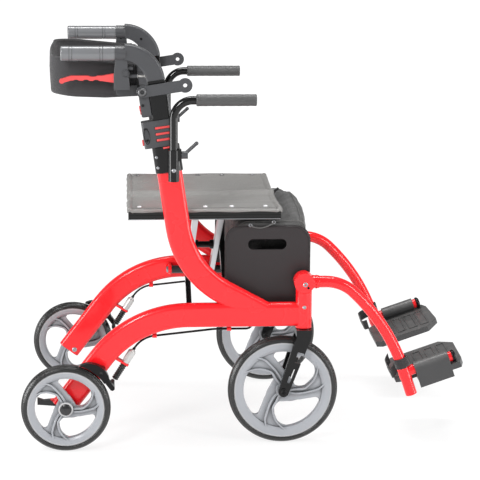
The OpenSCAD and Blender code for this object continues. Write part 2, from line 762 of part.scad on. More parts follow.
module cable() translate([0, -cable_y, 0]) {
  along(adjust_low, adjust_a) {
    translate([adjust_t / 2 + gap, 0, 0]) rod(30, 16.5);
    translate([adjust_t / 2 + 29, 0, 0]) rod(4, 13);
    translate([adjust_t / 2 + 32, 0, 0]) rod(adjust_len - adjust_t / 2 - 32, 7);
    translate([0.5, 0, 0]) rod(14, 5);
  }
  rod_arc(cable_c1, cable_r1, 90 + cable_slope - 0.1, 90 + adjust_a + 0.9, cable_d);
  along(cable_p1, cable_slope) rod_seg(cable_run, cable_d);
  rod_arc(cable_c2, cable_r2, 90, 90 + cable_slope, cable_d);
  along([cable_c2[0], cable_z], 0) rod_seg(cable_c3[0] - cable_c2[0], cable_d);
  rod_arc(cable_c3, cable_r3, 270, cable_end_a, cable_d);
}

// Caster fork

module fork_outline() difference() {
  union() {
    polygon([
      [trail - 18, head_low - 0.8], [trail + 18, head_low - 0.8], [trail + 15, front_r + 124],
      [trail + 8, front_r + 106], [12, front_r - 2], [-12, front_r + 2], [20, front_r + 108],
      [trail - 18, front_r + 127]
    ]);
    translate([0, front_r]) circle(12);
  }
  translate([24.5, front_r + 70]) rotate(-16) square([16, 26]);
  translate([7, front_r + 22]) rotate(-20) square([7.5, 36]);
}

module fork() {
  for (s = [-1, 1])
    translate([0, s * 24, 0]) side_plate(frame_y - 4, frame_y + 4) fork_outline();
  side_plate(frame_y - 25, frame_y + 25) polygon([
    [trail - 18, head_low - 0.8], [trail + 18, head_low - 0.8], [trail + 15, front_r + 128],
    [trail - 18, front_r + 130]
  ]);
  translate([trail, -frame_y, front_r + 130]) cylinder(h = stem_top - front_r - 130, d = stem_d);
  across([0, front_r], frame_y - 24, frame_y + 24, front_axle_d);
  for (s = [-1, 1]) across([0, front_r], frame_y + s * 28 - 3, frame_y + s * 28 + 3, 18);
}

// Swing-away hanger with its knuckle and foot bar

module hanger() {
  difference() {
    in_frame() {
      translate([trail, 0, head_high + gap]) cylinder(h = hanger_z - head_high, d = head_d);
      translate([trail, 0, head_high - spigot_len]) cylinder(h = spigot_len + 10, d = stem_d);
      translate([trail, knuckle_w / 2, hanger_z]) rotate([90, 0, 0]) cylinder(h = knuckle_w, r = knuckle_r);
      translate([trail, 0, hanger_z]) rod(34, 30);
      along([trail, hanger_z], 0) rod_seg(hanger_x - trail, hanger_d);
      rod_arc(hang_c1, hanger_r1, 90 - hanger_a1, 90, hanger_d);
      along(hang_p1, -hanger_a1) rod_seg(0, hanger_d);
      rod_arc(hang_c2, hanger_r2, 90 - hanger_a2, 90 - hanger_a1, hanger_d);
      along(hang_p2, -hanger_a2) rod_seg(hanger_end - lap, hanger_d);
      along(hang_p2, -hanger_a2) translate([bar_at - 13.2, 0, 0]) rod(27, hanger_d + 2.2);
    }
    in_frame() along(hang_p2, -hanger_a2) translate([hanger_end - hanger_bore, 0, 0])
      rod(hanger_bore + 1, hanger_d - 4);
  }
  on_foot() {
    rod(foot_bar_len, foot_bar_d);
    translate([foot_bar_len - 1, 0, 0]) rotate([0, 90, 0]) rotate_extrude() {
      square([foot_bar_d / 2 + 0.5, 5]);
      translate([0, 4]) square([foot_bar_d / 2 - 3.5, 5]);
      translate([foot_bar_d / 2 - 3.5, 5]) circle(4);
    }
  }
}

// Footplate: hinge sleeve, outer skirt and ribbed plate

module plate_outline() polygon([
  [sleeve_at, -sleeve_r], [plate_toe - 12, -sleeve_r], [plate_toe - 4, 10], [plate_toe, plate_w - 40],
  [plate_toe - 30, plate_w], [-plate_heel + 14, plate_w], [-plate_heel, plate_w - 16], [-plate_heel, 30],
  [-8, 19], [sleeve_at, 19]
]);

module footplate() on_foot() difference() {
  union() {
    translate([sleeve_at, 0, 0]) rod(sleeve_len, 2 * sleeve_r);
    translate([sleeve_at, -sleeve_r, plate_low - 16]) cube([sleeve_len, 4, 16 - plate_low]);
    translate([sleeve_at, -sleeve_r, plate_low]) cube([sleeve_len, sleeve_r + 12, -plate_low]);
    translate([0, 0, plate_low]) linear_extrude(plate_t) plate_outline();
    for (k = [0:3])
      translate([8 + 30 * k, 36, plate_top - 1]) linear_extrude(2.6) difference() {
        square([22, plate_w - 60]);
        translate([2.5, 2.5]) square([17, plate_w - 65]);
      }
  }
  translate([-plate_heel, 0, 0]) rod(plate_heel + 2 * plate_toe, foot_bar_d + 2 * run);
  translate([10, 30, plate_low - 1]) cube([plate_toe - 45, plate_w - 55, plate_t - 4]);
}

// Heel strap: webbing band round the hanger, with its loop behind the heel

module heel_strap() on_foot() translate([0, 0, 14]) difference() {
  union() {
    cylinder(h = strap_w, r = strap_in + strap_t);
    translate([loop_r + 0.5 - loop_back, 0, 0]) linear_extrude(strap_w) {
      translate([0, strap_in]) square([loop_back - loop_r, strap_t]);
      translate([0, strap_y]) difference() {
        rr(2 * loop_r + 1, loop_w, loop_r);
        rr(2 * (loop_r - strap_t) + 1, loop_w - 2 * strap_t, loop_r - strap_t);
        translate([0, -loop_w]) square([loop_w, 2 * loop_w]);
      }
      translate([0, strap_y + loop_w / 2 - strap_t]) square([1, strap_t]);
    }
  }
  translate([0, 0, -1]) cylinder(h = strap_w + 2, r = strap_in);
}

// Bag's side panel with its hand slot

module panel() {
  side_plate(panel_y - panel_t, panel_y) difference() {
    union() {
      translate([-panel_x, panel_z]) rr(panel_w, panel_h, panel_r);
      translate([-panel_x - panel_w / 2, panel_z - panel_h / 2]) square([70, 60]);
      translate([-panel_x - 15, bar_z - 7.5]) square([panel_w / 2 - 6, 60]);
    }
    translate([-panel_x - 1, panel_z + slot_up]) rr(slot_w, slot_h, slot_h / 2 - 0.5);
  }
  for (x = [-38, 0]) across([x, bar_z + 4], panel_y - 1, frame_in - gap, 12);
}

// Cross brace in two halves, and the seat rails on its upper ends

module brace_bar(x)
  translate([-x - brace_w / 2, -pivot_y, bar_z]) rotate([brace_a, 0, 0]) {
    translate([0, 0, -brace_h / 2]) cube([brace_w, brace_len, brace_h]);
    rod(brace_w, brace_h);
  }

module brace_half(x_front, x_rear) difference() {
  union() {
    brace_bar(x_front);
    brace_bar(x_rear);
    translate([-tab_rear_x + tab_t / 2 + gap, -pivot_y, bar_z])
      rod(tab_rear_x - tab_front_x - tab_t - 2 * gap, pivot_tube_d);
    translate([-tab_rear_x - tab_t / 2, -pivot_y, bar_z]) rod(tab_rear_x - tab_front_x + tab_t, brace_pin_d);
  }
  translate([-rail_rear, 0, rail_z - gap]) cube([rail_rear, brace_len, brace_len]);
}

module brace_black_solid() {
  brace_half(brace_front_x, brace_rear_x);
  translate([-brace_rear_x, 0, centre_z]) rod(brace_rear_x - brace_front_x, brace_pin_d);
  translate([-silver_rear_x + brace_w / 2 + gap, 0, centre_z])
    rod(silver_rear_x - silver_front_x - brace_w - 2 * gap, 15);
  for (x = [silver_rear_x - brace_w / 2 - gap, silver_front_x + brace_w / 2 + gap + 9])
    translate([-x, 0, centre_z]) rod(9, 22);
  for (x = [brace_rear_x + brace_w / 2 + 5, brace_front_x - brace_w / 2 + 1])
    translate([-x, 0, centre_z]) rod(6, 16);
}

module brace_silver_solid() mirror([0, 1, 0]) difference() {
  brace_half(silver_front_x, silver_rear_x);
  translate([-rail_rear, 0, centre_z]) rod(rail_rear, brace_pin_d + 2 * run);
}

module rail() translate([-rail_rear, -rail_y, rail_z + rail_h / 2]) rotate([90, 0, 90]) linear_extrude(rail_len)
  difference() {
    rr(rail_w, rail_h, 3);
    translate([-rail_w / 2, -1]) square([1.5, 3]);
    translate([-rail_w / 2, -7.5]) square([1, 2.5]);
  }

// Seat cloth: flat over the rails, sagging between them to a crease along the middle

function sag_z(y) =
  let (e = max(0, 1 - abs(y) / (rail_y - rail_w / 2)))
  -sling_sag * (1 - pow(1 - e, 2)) + 5 * exp(-pow(y / 16, 2));

function sling_pts(dz) = [for (i = [0:44]) let (y = -sling_hw + sling_hw * i / 22) [y, sag_z(y) + dz]];

module sling() translate([-rail_rear - sling_over, 0, rail_top + gap]) rotate([90, 0, 90])
  linear_extrude(rail_len + 2 * sling_over)
    polygon(concat(sling_pts(0), [for (i = [44:-1:0]) sling_pts(sling_t)[i]]));

// Bag between the side panels, with the flap that rises in front of the seat

module bag_outline(wall) translate([(bag_front - bag_rear) / 2, bag_low + bag_h / 2])
  rr(bag_front + bag_rear - 2 * wall, bag_h - 2 * wall, 30 - wall);

module bag_solid() difference() {
  side_plate(-bag_hw, bag_hw) {
    bag_outline(0);
    translate([bag_front + 1 - lid_w / 2, lid_top - lid_h / 2]) rr(lid_w, lid_h, lid_w / 2 - 1);
  }
  side_plate(-bag_hw + bag_t, bag_hw - bag_t) {
    bag_outline(bag_t);
    translate([35 - bag_rear, bag_top - 16]) square([58, 30]);
  }
}

// Backrest band: one strip bent round the back, tapering towards its two ends

module band_solid() intersection() {
  translate([back_pivot[0], 0, back_pivot[1] - 40]) linear_extrude(130) difference() {
    rr(2 * band_reach, 2 * band_y, band_r);
    translate([band_t, 0]) rr(2 * band_reach, 2 * (band_y - band_t), band_r - band_t);
    translate([-8, -2 * band_y]) square([2 * band_reach, 4 * band_y]);
  }
  translate([back_pivot[0], 0, back_pivot[1]]) side_plate(-2 * band_y, 2 * band_y) polygon([
    [-band_reach - 10, -7], [-150, -15], [-80, -19], [0, -15], [0, 56], [-160, 71], [-band_reach - 10, 75]
  ]);
}

module right_frame() color("red") right() {
  side_frame();
  curb_lever();
}

module right_sleeve() color("black") right() sleeve();
module right_clamp() color("dimgray") right() clamp();
module right_clamp_button() color("red") right() clamp_button();
module right_panel() color("black") right() panel();
module right_column() color("black") right() column();
module right_handle() color("dimgray") right() handle();
module right_grip() color("gray") right() grip();
module right_lever() color("red") right() lever();
module right_bracket() color("dimgray") right() bracket();
module right_back_button() color("red") right() back_button();
module right_back_arm() color("dimgray") right() back_arm();
module right_armrest() color("black") right() armrest();
module right_armrest_pad() color("gray") right() armrest_pad();
module right_clamp_lever() color("black") right() clamp_lever();
module right_rear_rim() color("lightsteelblue") right() rear_rim();
module right_rear_tyre() color("dimgray") right() rear_wheel_at() tyre(rear_r);
module right_brake_arm() color("black") right() brake_arm();
module right_bellows() color("black") right() bellows();
module right_cable() color("black") right() cable();
module right_fork() color("black") right() fork();
module right_front_rim() color("lightsteelblue") right() front_wheel_at() rim(rim_front_r, front_axle_d);
module right_front_tyre() color("dimgray") right() front_wheel_at() tyre(front_r);
module right_hanger() color("red") right() hanger();
module right_footplate() color("dimgray") right() footplate();
module right_heel_strap() color("black") right() heel_strap();
module left_frame() color("red") left() side_frame();
module left_sleeve() color("black") left() sleeve();
module left_clamp() color("dimgray") left() clamp();
module left_clamp_button() color("red") left() clamp_button();
module left_panel() color("black") left() panel();
module left_column() color("black") left() column();
module left_handle() color("dimgray") left() handle();
module left_grip() color("gray") left() grip();
module left_lever() color("red") left() lever();
module left_bracket() color("dimgray") left() bracket();
module left_back_button() color("red") left() back_button();
module left_back_arm() color("dimgray") left() back_arm();
module left_armrest() color("black") left() armrest();
module left_armrest_pad() color("gray") left() armrest_pad();
module left_clamp_lever() color("black") left() clamp_lever();
module left_rear_rim() color("lightsteelblue") left() rear_rim();
module left_rear_tyre() color("dimgray") left() rear_wheel_at() tyre(rear_r);
module left_brake_arm() color("black") left() brake_arm();
module left_bellows() color("black") left() bellows();
module left_cable() color("black") left() cable();
module left_fork() color("black") left() fork();
module left_front_rim() color("lightsteelblue") left() front_wheel_at() rim(rim_front_r, front_axle_d);
module left_front_tyre() color("dimgray") left() front_wheel_at() tyre(front_r);
module left_hanger() color("red") left() hanger();
module left_footplate() color("dimgray") left() footplate();
module left_heel_strap() color("black") left() heel_strap();
module brace_black() color("black") middle() brace_black_solid();
module brace_silver() color("silver") middle() brace_silver_solid();
module right_rail() color("black") right() rail();
module left_rail() color("black") left() rail();
module seat_sling() color("gray") middle() sling();
module bag() color("dimgray") middle() bag_solid();
module back_band() color("black") middle() band_solid();

right_frame();
right_sleeve();
right_clamp();
right_clamp_button();
right_panel();
right_column();
right_handle();
right_grip();
right_lever();
right_bracket();
right_back_button();
right_back_arm();
right_armrest();
right_armrest_pad();
right_clamp_lever();
right_rear_rim();
right_rear_tyre();
right_brake_arm();
right_bellows();
right_cable();
right_fork();
right_front_rim();
right_front_tyre();
right_hanger();
right_footplate();
right_heel_strap();
left_frame();
left_sleeve();
left_clamp();
left_clamp_button();
left_panel();
left_column();
left_handle();
left_grip();
left_lever();
left_bracket();
left_back_button();
left_back_arm();
left_armrest();
left_armrest_pad();
left_clamp_lever();
left_rear_rim();
left_rear_tyre();
left_brake_arm();
left_bellows();
left_cable();
left_fork();
left_front_rim();
left_front_tyre();
left_hanger();
left_footplate();
left_heel_strap();
brace_black();
brace_silver();
right_rail();
left_rail();
seat_sling();
bag();
back_band();
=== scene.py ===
import json
import math
import bpy
import bmesh
from mathutils import Matrix, Vector, noise


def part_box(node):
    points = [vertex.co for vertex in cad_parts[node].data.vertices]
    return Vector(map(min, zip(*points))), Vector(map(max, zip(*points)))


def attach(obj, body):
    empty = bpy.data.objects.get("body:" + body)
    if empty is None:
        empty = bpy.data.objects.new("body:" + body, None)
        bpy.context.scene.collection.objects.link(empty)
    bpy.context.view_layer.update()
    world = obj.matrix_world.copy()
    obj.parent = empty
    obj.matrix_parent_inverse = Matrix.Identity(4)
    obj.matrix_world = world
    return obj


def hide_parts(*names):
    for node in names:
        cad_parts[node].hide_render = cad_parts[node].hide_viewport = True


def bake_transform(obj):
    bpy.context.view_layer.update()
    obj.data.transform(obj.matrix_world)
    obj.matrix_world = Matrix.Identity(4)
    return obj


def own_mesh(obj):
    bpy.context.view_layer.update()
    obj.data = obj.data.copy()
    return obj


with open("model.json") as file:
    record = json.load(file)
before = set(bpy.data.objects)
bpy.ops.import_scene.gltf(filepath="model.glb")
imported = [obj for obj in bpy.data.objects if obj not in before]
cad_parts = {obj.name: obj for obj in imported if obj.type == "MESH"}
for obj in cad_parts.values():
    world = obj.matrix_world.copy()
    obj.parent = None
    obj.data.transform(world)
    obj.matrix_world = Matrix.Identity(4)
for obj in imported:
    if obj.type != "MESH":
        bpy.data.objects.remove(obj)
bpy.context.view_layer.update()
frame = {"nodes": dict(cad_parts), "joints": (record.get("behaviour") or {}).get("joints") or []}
nodes = frame["nodes"]
joints = {joint["name"]: joint for joint in frame["joints"]}
scene = bpy.context.scene
sides = (("right", -1), ("left", 1))
mm = 0.001

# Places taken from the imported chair
frontAxle = Vector(joints["right_front_wheel_spin"]["pos_m"])
rearAxle = Vector(joints["right_rear_wheel_spin"]["pos_m"])
backPivot = Vector(joints["right_backrest_flip"]["pos_m"])
footPivot = Vector(joints["right_footplate_flip"]["pos_m"])
footAxis = Vector(joints["right_footplate_flip"]["axis"])
columnAxis = Vector(joints["right_handle_height"]["axis"])
frameY = abs(frontAxle.y)
columnTilt = math.atan2(-columnAxis.x, columnAxis.z)
footTilt = math.atan2(footAxis.z, footAxis.x)


# A point in millimetres from the front axle's line, with y measured out to one side
def spot(x, y, z, sign=-1):
    return Vector((frontAxle.x + x * mm, sign * y * mm, z * mm))


# A place tilted front to back, with y running inward on either side
def sideMatrix(place, tilt, sign):
    turn = Matrix.Rotation(-tilt, 4, "Y")
    return Matrix.Translation(place) @ turn @ Matrix.Scale(-sign, 4, (0, 1, 0))


# Even steps round a circle, in radians
def turns(count):
    return [2 * math.pi * k / count for k in range(count)]


# A bump of height 1 that fades over its spread
def bell(away, spread):
    return math.exp(-(away / spread) ** 2)


# Several bumps in one: height, place and spread of each
def bumps(away, shapes):
    return sum(height * bell(away - at, spread) for height, at, spread in shapes)


# Which way is out, across a path of flat points
def outFrom(points, i, closed=False):
    count = len(points)
    before = Vector(points[(i - 1) % count if closed else max(i - 1, 0)])
    after = Vector(points[(i + 1) % count if closed else min(i + 1, count - 1)])
    way = (after - before).normalized()
    return Vector((way.y, -way.x))


def signedPower(value, power):
    return math.copysign(abs(value) ** power, value)


def addObject(name, data):
    obj = bpy.data.objects.new(name, data)
    scene.collection.objects.link(obj)
    return obj


def smooth(mesh, angle=None):
    for polygon in mesh.polygons:
        polygon.use_smooth = True
    if angle:
        mesh.set_sharp_from_angle(angle=math.radians(angle))


def faceOut(obj, weld=False):
    work = bmesh.new()
    work.from_mesh(obj.data)
    if weld:
        bmesh.ops.remove_doubles(work, verts=work.verts, dist=0.00001)
    bmesh.ops.recalc_face_normals(work, faces=work.faces)
    work.to_mesh(obj.data)
    work.free()


# Rows of points become a skin; uv runs in metres along the rows and across them
def skin(name, rows, material, ring=True, caps=True):
    count = len(rows[0])
    along = [0.0]
    for before, after in zip(rows, rows[1:]):
        along.append(along[-1] + (after[0] - before[0]).length)
    across = [0.0]
    for c in range(count):
        across.append(across[-1] + (rows[0][(c + 1) % count] - rows[0][c]).length)
    faces = []
    corners = []
    for r in range(len(rows) - 1):
        for c in range(count if ring else count - 1):
            d = (c + 1) % count
            faces.append((r * count + c, r * count + d, (r + 1) * count + d, (r + 1) * count + c))
            corners.append(((along[r], across[c]), (along[r], across[c + 1]),
                            (along[r + 1], across[c + 1]), (along[r + 1], across[c])))
    if ring and caps:
        last = (len(rows) - 1) * count
        edge = [(far, 0.0) for far in across[:count]]
        faces += [tuple(reversed(range(count))), tuple(range(last, last + count))]
        corners += [edge[::-1], edge]
    mesh = bpy.data.meshes.new(name)
    mesh.from_pydata([tuple(point) for row in rows for point in row], [], faces)
    layer = mesh.uv_layers.new(name="cloth")
    for polygon, uv in zip(mesh.polygons, corners):
        for loop, value in zip(polygon.loop_indices, uv):
            layer.data[loop].uv = value
    smooth(mesh)
    mesh.materials.append(material)
    obj = addObject(name, mesh)
    if ring and caps:
        faceOut(obj)
    return obj


# The object's modifiers are worked out into its own plain mesh
def settle(obj):
    depsgraph = bpy.context.evaluated_depsgraph_get()
    mesh = bpy.data.meshes.new_from_object(obj.evaluated_get(depsgraph))
    obj.modifiers.clear()
    obj.data = mesh
    return obj


def hold(piece, body):
    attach(piece, body)
    return piece


# Puts nodes into a tree; what feeds a socket is linked to it, or set on it when it is a plain value
class Wires:
    def __init__(self, tree):
        self.tree = tree

    def feed(self, target, value):
        if isinstance(value, bpy.types.NodeSocket):
            self.tree.links.new(value, target)
        else:
            target.default_value = value

    def put(self, kind, feeds=None, **settings):
        node = self.tree.nodes.new(kind)
        for key, value in settings.items():
            setattr(node, key, value)
        for key, value in (feeds or {}).items():
            if value is not None:
                self.feed(node.inputs[key], value)
        return node

    def math(self, operation, *values):
        return self.put("ShaderNodeMath", dict(enumerate(values)), operation=operation).outputs[0]

    def vector(self, operation, first, second=None, scale=None):
        node = self.put("ShaderNodeVectorMath", {0: first, 1: second, "Scale": scale}, operation=operation)
        return node.outputs["Value" if operation in ("LENGTH", "DOT_PRODUCT") else "Vector"]

    def ramp(self, value, low, high, toLow=0.0, toHigh=1.0):
        feeds = {"Value": value, "From Min": low, "From Max": high, "To Min": toLow, "To Max": toHigh}
        return self.put("ShaderNodeMapRange", feeds).outputs["Result"]

    def mix(self, mask, first, second):
        node = self.put("ShaderNodeMix", {"Factor": mask, "A": first, "B": second}, data_type="FLOAT")
        return node.outputs["Result"]

    # The mix node's vector sockets share their names with others, so they go by number
    def mixColour(self, mask, first, second):
        node = self.put("ShaderNodeMix", {"Factor": mask, 4: first, 5: second}, data_type="VECTOR")
        return node.outputs[1]

    def noise(self, place, scale, detail):
        node = self.put("ShaderNodeTexNoise", {"Vector": place, "Scale": scale, "Detail": detail})
        return node.outputs["Fac"]

    def split(self, value):
        return self.put("ShaderNodeSeparateXYZ", {0: value}).outputs

    def group(self, tree, feeds):
        return self.put("ShaderNodeGroup", feeds, node_tree=tree).outputs


# The emptied node tree of a material or a world
def freshWires(owner):
    owner.use_nodes = True
    owner.node_tree.nodes.clear()
    return Wires(owner.node_tree)


# A node group; each input is given as a kind of socket, or as the number that a float starts at
def nodeGroup(kind, name, inputs, outputs):
    tree = bpy.data.node_groups.new(name, kind + "NodeTree")
    for label, value in inputs.items():
        isKind = isinstance(value, str)
        socketType = "NodeSocket" + (value if isKind else "Float")
        socket = tree.interface.new_socket(name=label, in_out="INPUT", socket_type=socketType)
        if not isKind:
            socket.default_value = value
    for label, value in outputs.items():
        tree.interface.new_socket(name=label, in_out="OUTPUT", socket_type="NodeSocket" + value)
    into = tree.nodes.new("NodeGroupInput")
    out = tree.nodes.new("NodeGroupOutput")
    return Wires(tree), into.outputs, out.inputs


# Moulded grain with slow mottling: Tone multiplies the colour, Height feeds a bump
def makeGrain():
    inputs = {"Vector": "Vector", "Size": 0.0008, "Mottle": 0.08}
    outputs = {"Tone": "Float", "Height": "Float", "Patch": "Float"}
    w, into, out = nodeGroup("Shader", "mouldGrain", inputs, outputs)
    fine = w.noise(into["Vector"], w.math("DIVIDE", 1.0, into["Size"]), 3.0)
    slow = w.noise(into["Vector"], 9.0, 5.0)
    swing = w.math("SUBTRACT", slow, 0.5)
    w.feed(out["Tone"], w.math("MULTIPLY_ADD", swing, into["Mottle"], 1.0))
    w.feed(out["Height"], fine)
    w.feed(out["Patch"], slow)
    return w.tree


# Plain weave over a uv map in metres
def makeWeave():
    inputs = {"Vector": "Vector", "Pitch": 0.0012}
    w, into, out = nodeGroup("Shader", "plainWeave", inputs, {"Height": "Float", "Tone": "Float"})
    scale = w.math("DIVIDE", math.pi, into["Pitch"])
    parts = w.split(w.vector("SCALE", into["Vector"], scale=scale))
    warp = w.math("SINE", parts["X"])
    weft = w.math("SINE", parts["Y"])
    over = w.math("GREATER_THAN", w.math("MULTIPLY", warp, weft), 0.0)
    height = w.mix(over, w.math("ABSOLUTE", warp), w.math("ABSOLUTE", weft))
    w.feed(out["Height"], height)
    w.feed(out["Tone"], w.math("MULTIPLY_ADD", height, 0.35, 0.8))
    return w.tree


# Dust that settles where the surface looks up, and a painted highlight there: faces that look up turn
# lighter
def makeDustAndHighlight():
    inputs = {"Vector": "Vector", "Normal": "Vector", "Amount": 0.1}
    w, into, out = nodeGroup("Shader", "settledDustAndHighlight", inputs, {"Mask": "Float"})
    up = w.math("MAXIMUM", w.split(into["Normal"])["Z"], 0.0)
    cloud = w.noise(into["Vector"], 60.0, 6.0)
    w.feed(out["Mask"], w.math("MULTIPLY", w.math("MULTIPLY", up, cloud), into["Amount"]))
    return w.tree


grainGroup = makeGrain()
weaveGroup = makeWeave()
dustGroup = makeDustAndHighlight()
print("shared shader groups made")

# What a finish has unless it says otherwise, and what all finishes share
plainLook = {"metal": 0.0, "coat": 0.0, "coatRough": 0.12, "sheen": 0.0, "specular": 0.5, "weave": None,
             "cavity": None, "dust": None, "bevel": None}
shared = {"roughSwing": 0.05, "patch": (0.3, 0.7), "cavityReach": 0.012, "cavityOpen": (0.35, 0.95),
          "dustTint": (0.42, 0.41, 0.4), "sheenRough": 0.4, "weaveHeight": 2.0}


# Zones repaint part of a piece by where it lies
def finish(name, look, zones=()):
    material = bpy.data.materials.new(name)
    w = freshWires(material)
    grainSize, grainDepth, mottle = look["grain"]
    place = w.put("ShaderNodeTexCoord").outputs
    grain = w.group(grainGroup, {"Vector": place["Object"], "Size": grainSize, "Mottle": mottle})
    tone = grain["Tone"]
    height = grain["Height"]
    if look["weave"]:
        cloth = w.group(weaveGroup, {"Vector": place["UV"], "Pitch": look["weave"]})
        tone = w.math("MULTIPLY", tone, cloth["Tone"])
        height = w.math("MULTIPLY_ADD", cloth["Height"], shared["weaveHeight"], height)
    colour = w.put("ShaderNodeCombineXYZ", dict(enumerate(look["tint"]))).outputs[0]
    swing = shared["roughSwing"]
    rough = w.ramp(grain["Patch"], *shared["patch"], look["rough"] - swing, look["rough"] + swing)
    metal = look["metal"]
    for zone in zones:
        mask = zoneMask(w, place["Object"], zone)
        colour = w.mixColour(mask, colour, zone["tint"])
        rough = w.mix(mask, rough, zone["rough"])
        if "metal" in zone:
            metal = w.mix(mask, metal, zone["metal"])
    colour = w.vector("SCALE", colour, scale=tone)
    # Painted shade: the colour darkens in crevices and narrow gaps, by ambient occlusion
    if look["cavity"]:
        occlusion = w.put("ShaderNodeAmbientOcclusion", {"Distance": shared["cavityReach"]}, samples=6)
        shade = w.ramp(occlusion.outputs["AO"], *shared["cavityOpen"], 1.0 - look["cavity"], 1.0)
        colour = w.vector("SCALE", colour, scale=shade)
    # Dust and painted highlight: faces that look up are mixed towards a pale tint
    if look["dust"]:
        normal = w.put("ShaderNodeNewGeometry").outputs["Normal"]
        dust = w.group(dustGroup, {"Vector": place["Object"], "Normal": normal, "Amount": look["dust"]})
        colour = w.mixColour(dust["Mask"], colour, shared["dustTint"])
    bump = w.put("ShaderNodeBump", {"Strength": grainDepth, "Distance": grainSize, "Height": height})
    if look["bevel"]:
        edge = w.put("ShaderNodeBevel", {"Radius": look["bevel"]}, samples=4)
        w.feed(bump.inputs["Normal"], edge.outputs[0])
    shader = w.put("ShaderNodeBsdfPrincipled", {
        "Base Color": colour, "Roughness": rough, "Metallic": metal, "Normal": bump.outputs[0],
        "Coat Weight": look["coat"], "Coat Roughness": look["coatRough"], "Sheen Weight": look["sheen"],
        "Sheen Roughness": shared["sheenRough"], "Specular IOR Level": look["specular"]})
    w.put("ShaderNodeOutputMaterial", {"Surface": shader.outputs[0]})
    return material


# A mask from a zone: past a plane, near a point or round an axle
def zoneMask(w, place, zone):
    away = w.vector("SUBTRACT", place, zone["at"])
    if zone["kind"] == "past":
        return w.math("GREATER_THAN", w.vector("DOT_PRODUCT", away, zone["aim"]), zone["from"])
    if zone["kind"] == "near":
        return w.math("LESS_THAN", w.vector("LENGTH", away), zone["radius"])
    flat = w.vector("MULTIPLY", away, (1.0, 0.0, 1.0))
    inside = w.math("LESS_THAN", w.vector("LENGTH", flat), zone["radius"])
    outer = w.math("ABSOLUTE", w.split(place)["Y"])
    return w.math("MULTIPLY", inside, w.math("GREATER_THAN", outer, zone["beyond"]))


# A finish: tint, roughness, grain as size, depth and mottle, and what else it has
def recipe(tint, rough, grain, **more):
    return dict(plainLook, tint=tint, rough=rough, grain=grain, **more)


rimMould = recipe((0.3, 0.312, 0.335), 0.3, (0.0009, 0.08, 0.14), bevel=0.0034, coat=0.3, coatRough=0.18,
                  cavity=0.65)
brushedSilver = recipe((0.66, 0.67, 0.69), 0.36, (0.0007, 0.08, 0.12), bevel=0.0008, metal=0.85)
blackEnamel = recipe((0.003, 0.003, 0.0033), 0.2, (0.0014, 0.05, 0.2), bevel=0.0012, coat=0.4,
                     coatRough=0.05, specular=0.12)
looks = {
    "redEnamel": recipe((0.88, 0.011, 0.016), 0.26, (0.0016, 0.04, 0.06), bevel=0.0028, coat=0.45,
                        coatRough=0.06, specular=0.3, cavity=0.35),
    "blackEnamel": blackEnamel,
    "armEnamel": dict(blackEnamel, tint=(0.004, 0.004, 0.004), specular=0.16, coat=0.5),
    "railEnamel": dict(blackEnamel, tint=(0.005, 0.005, 0.005), bevel=0.0016),
    "blackMould": recipe((0.005, 0.005, 0.0055), 0.28, (0.0009, 0.15, 0.2), bevel=0.0014, specular=0.2),
    "panelMould": recipe((0.024, 0.02, 0.021), 0.4, (0.0007, 0.25, 0.25), bevel=0.0022, specular=0.35),
    "greyMould": recipe((0.046, 0.047, 0.051), 0.36, (0.0008, 0.2, 0.16), bevel=0.0022, dust=0.03,
                        cavity=0.6),
    "plateMould": recipe((0.04, 0.04, 0.041), 0.4, (0.001, 0.15, 0.2), bevel=0.0022, dust=0.24, cavity=0.6),
    "redMould": recipe((0.66, 0.052, 0.052), 0.36, (0.0008, 0.1, 0.1), bevel=0.0014, coat=0.2),
    "adjusterMould": dict(rimMould, tint=(0.5, 0.5, 0.49)),
    "gripRubber": recipe((0.135, 0.138, 0.145), 0.24, (0.0006, 0.15, 0.15), bevel=0.0016, coat=0.5,
                         cavity=0.6),
    "tyreRubber": recipe((0.01, 0.01, 0.01), 0.22, (0.0012, 0.2, 0.3), bevel=0.0055, dust=0.03,
                         specular=0.65),
    "bellowsRubber": recipe((0.008, 0.008, 0.008), 0.28, (0.0012, 0.2, 0.3), specular=0.65),
    "foamRubber": recipe((0.056, 0.056, 0.056), 0.36, (0.0011, 0.6, 0.3), sheen=0.15),
    "bareSteel": recipe((0.42, 0.43, 0.45), 0.3, (0.0006, 0.05, 0.15), bevel=0.0004, metal=1.0),
    "brightSteel": recipe((0.85, 0.86, 0.87), 0.25, (0.0006, 0.05, 0.15), bevel=0.0004, metal=0.3),
    "dullSteel": recipe((0.2, 0.2, 0.205), 0.3, (0.0012, 0.3, 0.5), bevel=0.0004, metal=1.0),
    "seatCloth": recipe((0.187, 0.182, 0.175), 0.34, (0.0012, 0.3, 0.3), sheen=0.1, specular=0.6, cavity=0.4,
                        weave=0.0014),
    "bagCloth": recipe((0.05, 0.049, 0.048), 0.44, (0.0014, 0.4, 0.35), sheen=0.15, weave=0.0011),
    "bandCloth": recipe((0.02, 0.019, 0.021), 0.7, (0.0018, 0.4, 0.25), sheen=0.16, weave=0.0009),
    "webbing": recipe((0.014, 0.013, 0.014), 0.65, (0.0014, 0.4, 0.3), sheen=0.2, weave=0.0016),
    "stitchThread": recipe((0.09, 0.09, 0.09), 0.65, (0.0014, 0.4, 0.3), sheen=0.2),
    "piping": recipe((0.085, 0.083, 0.08), 0.4, (0.0014, 0.4, 0.35), sheen=0.15),
}
mats = {name: finish(name, look) for name, look in looks.items()}


def dress(node, material):
    slots = nodes[node].material_slots
    if not slots:
        nodes[node].data.materials.append(material)
    for slot in slots:
        slot.material = material


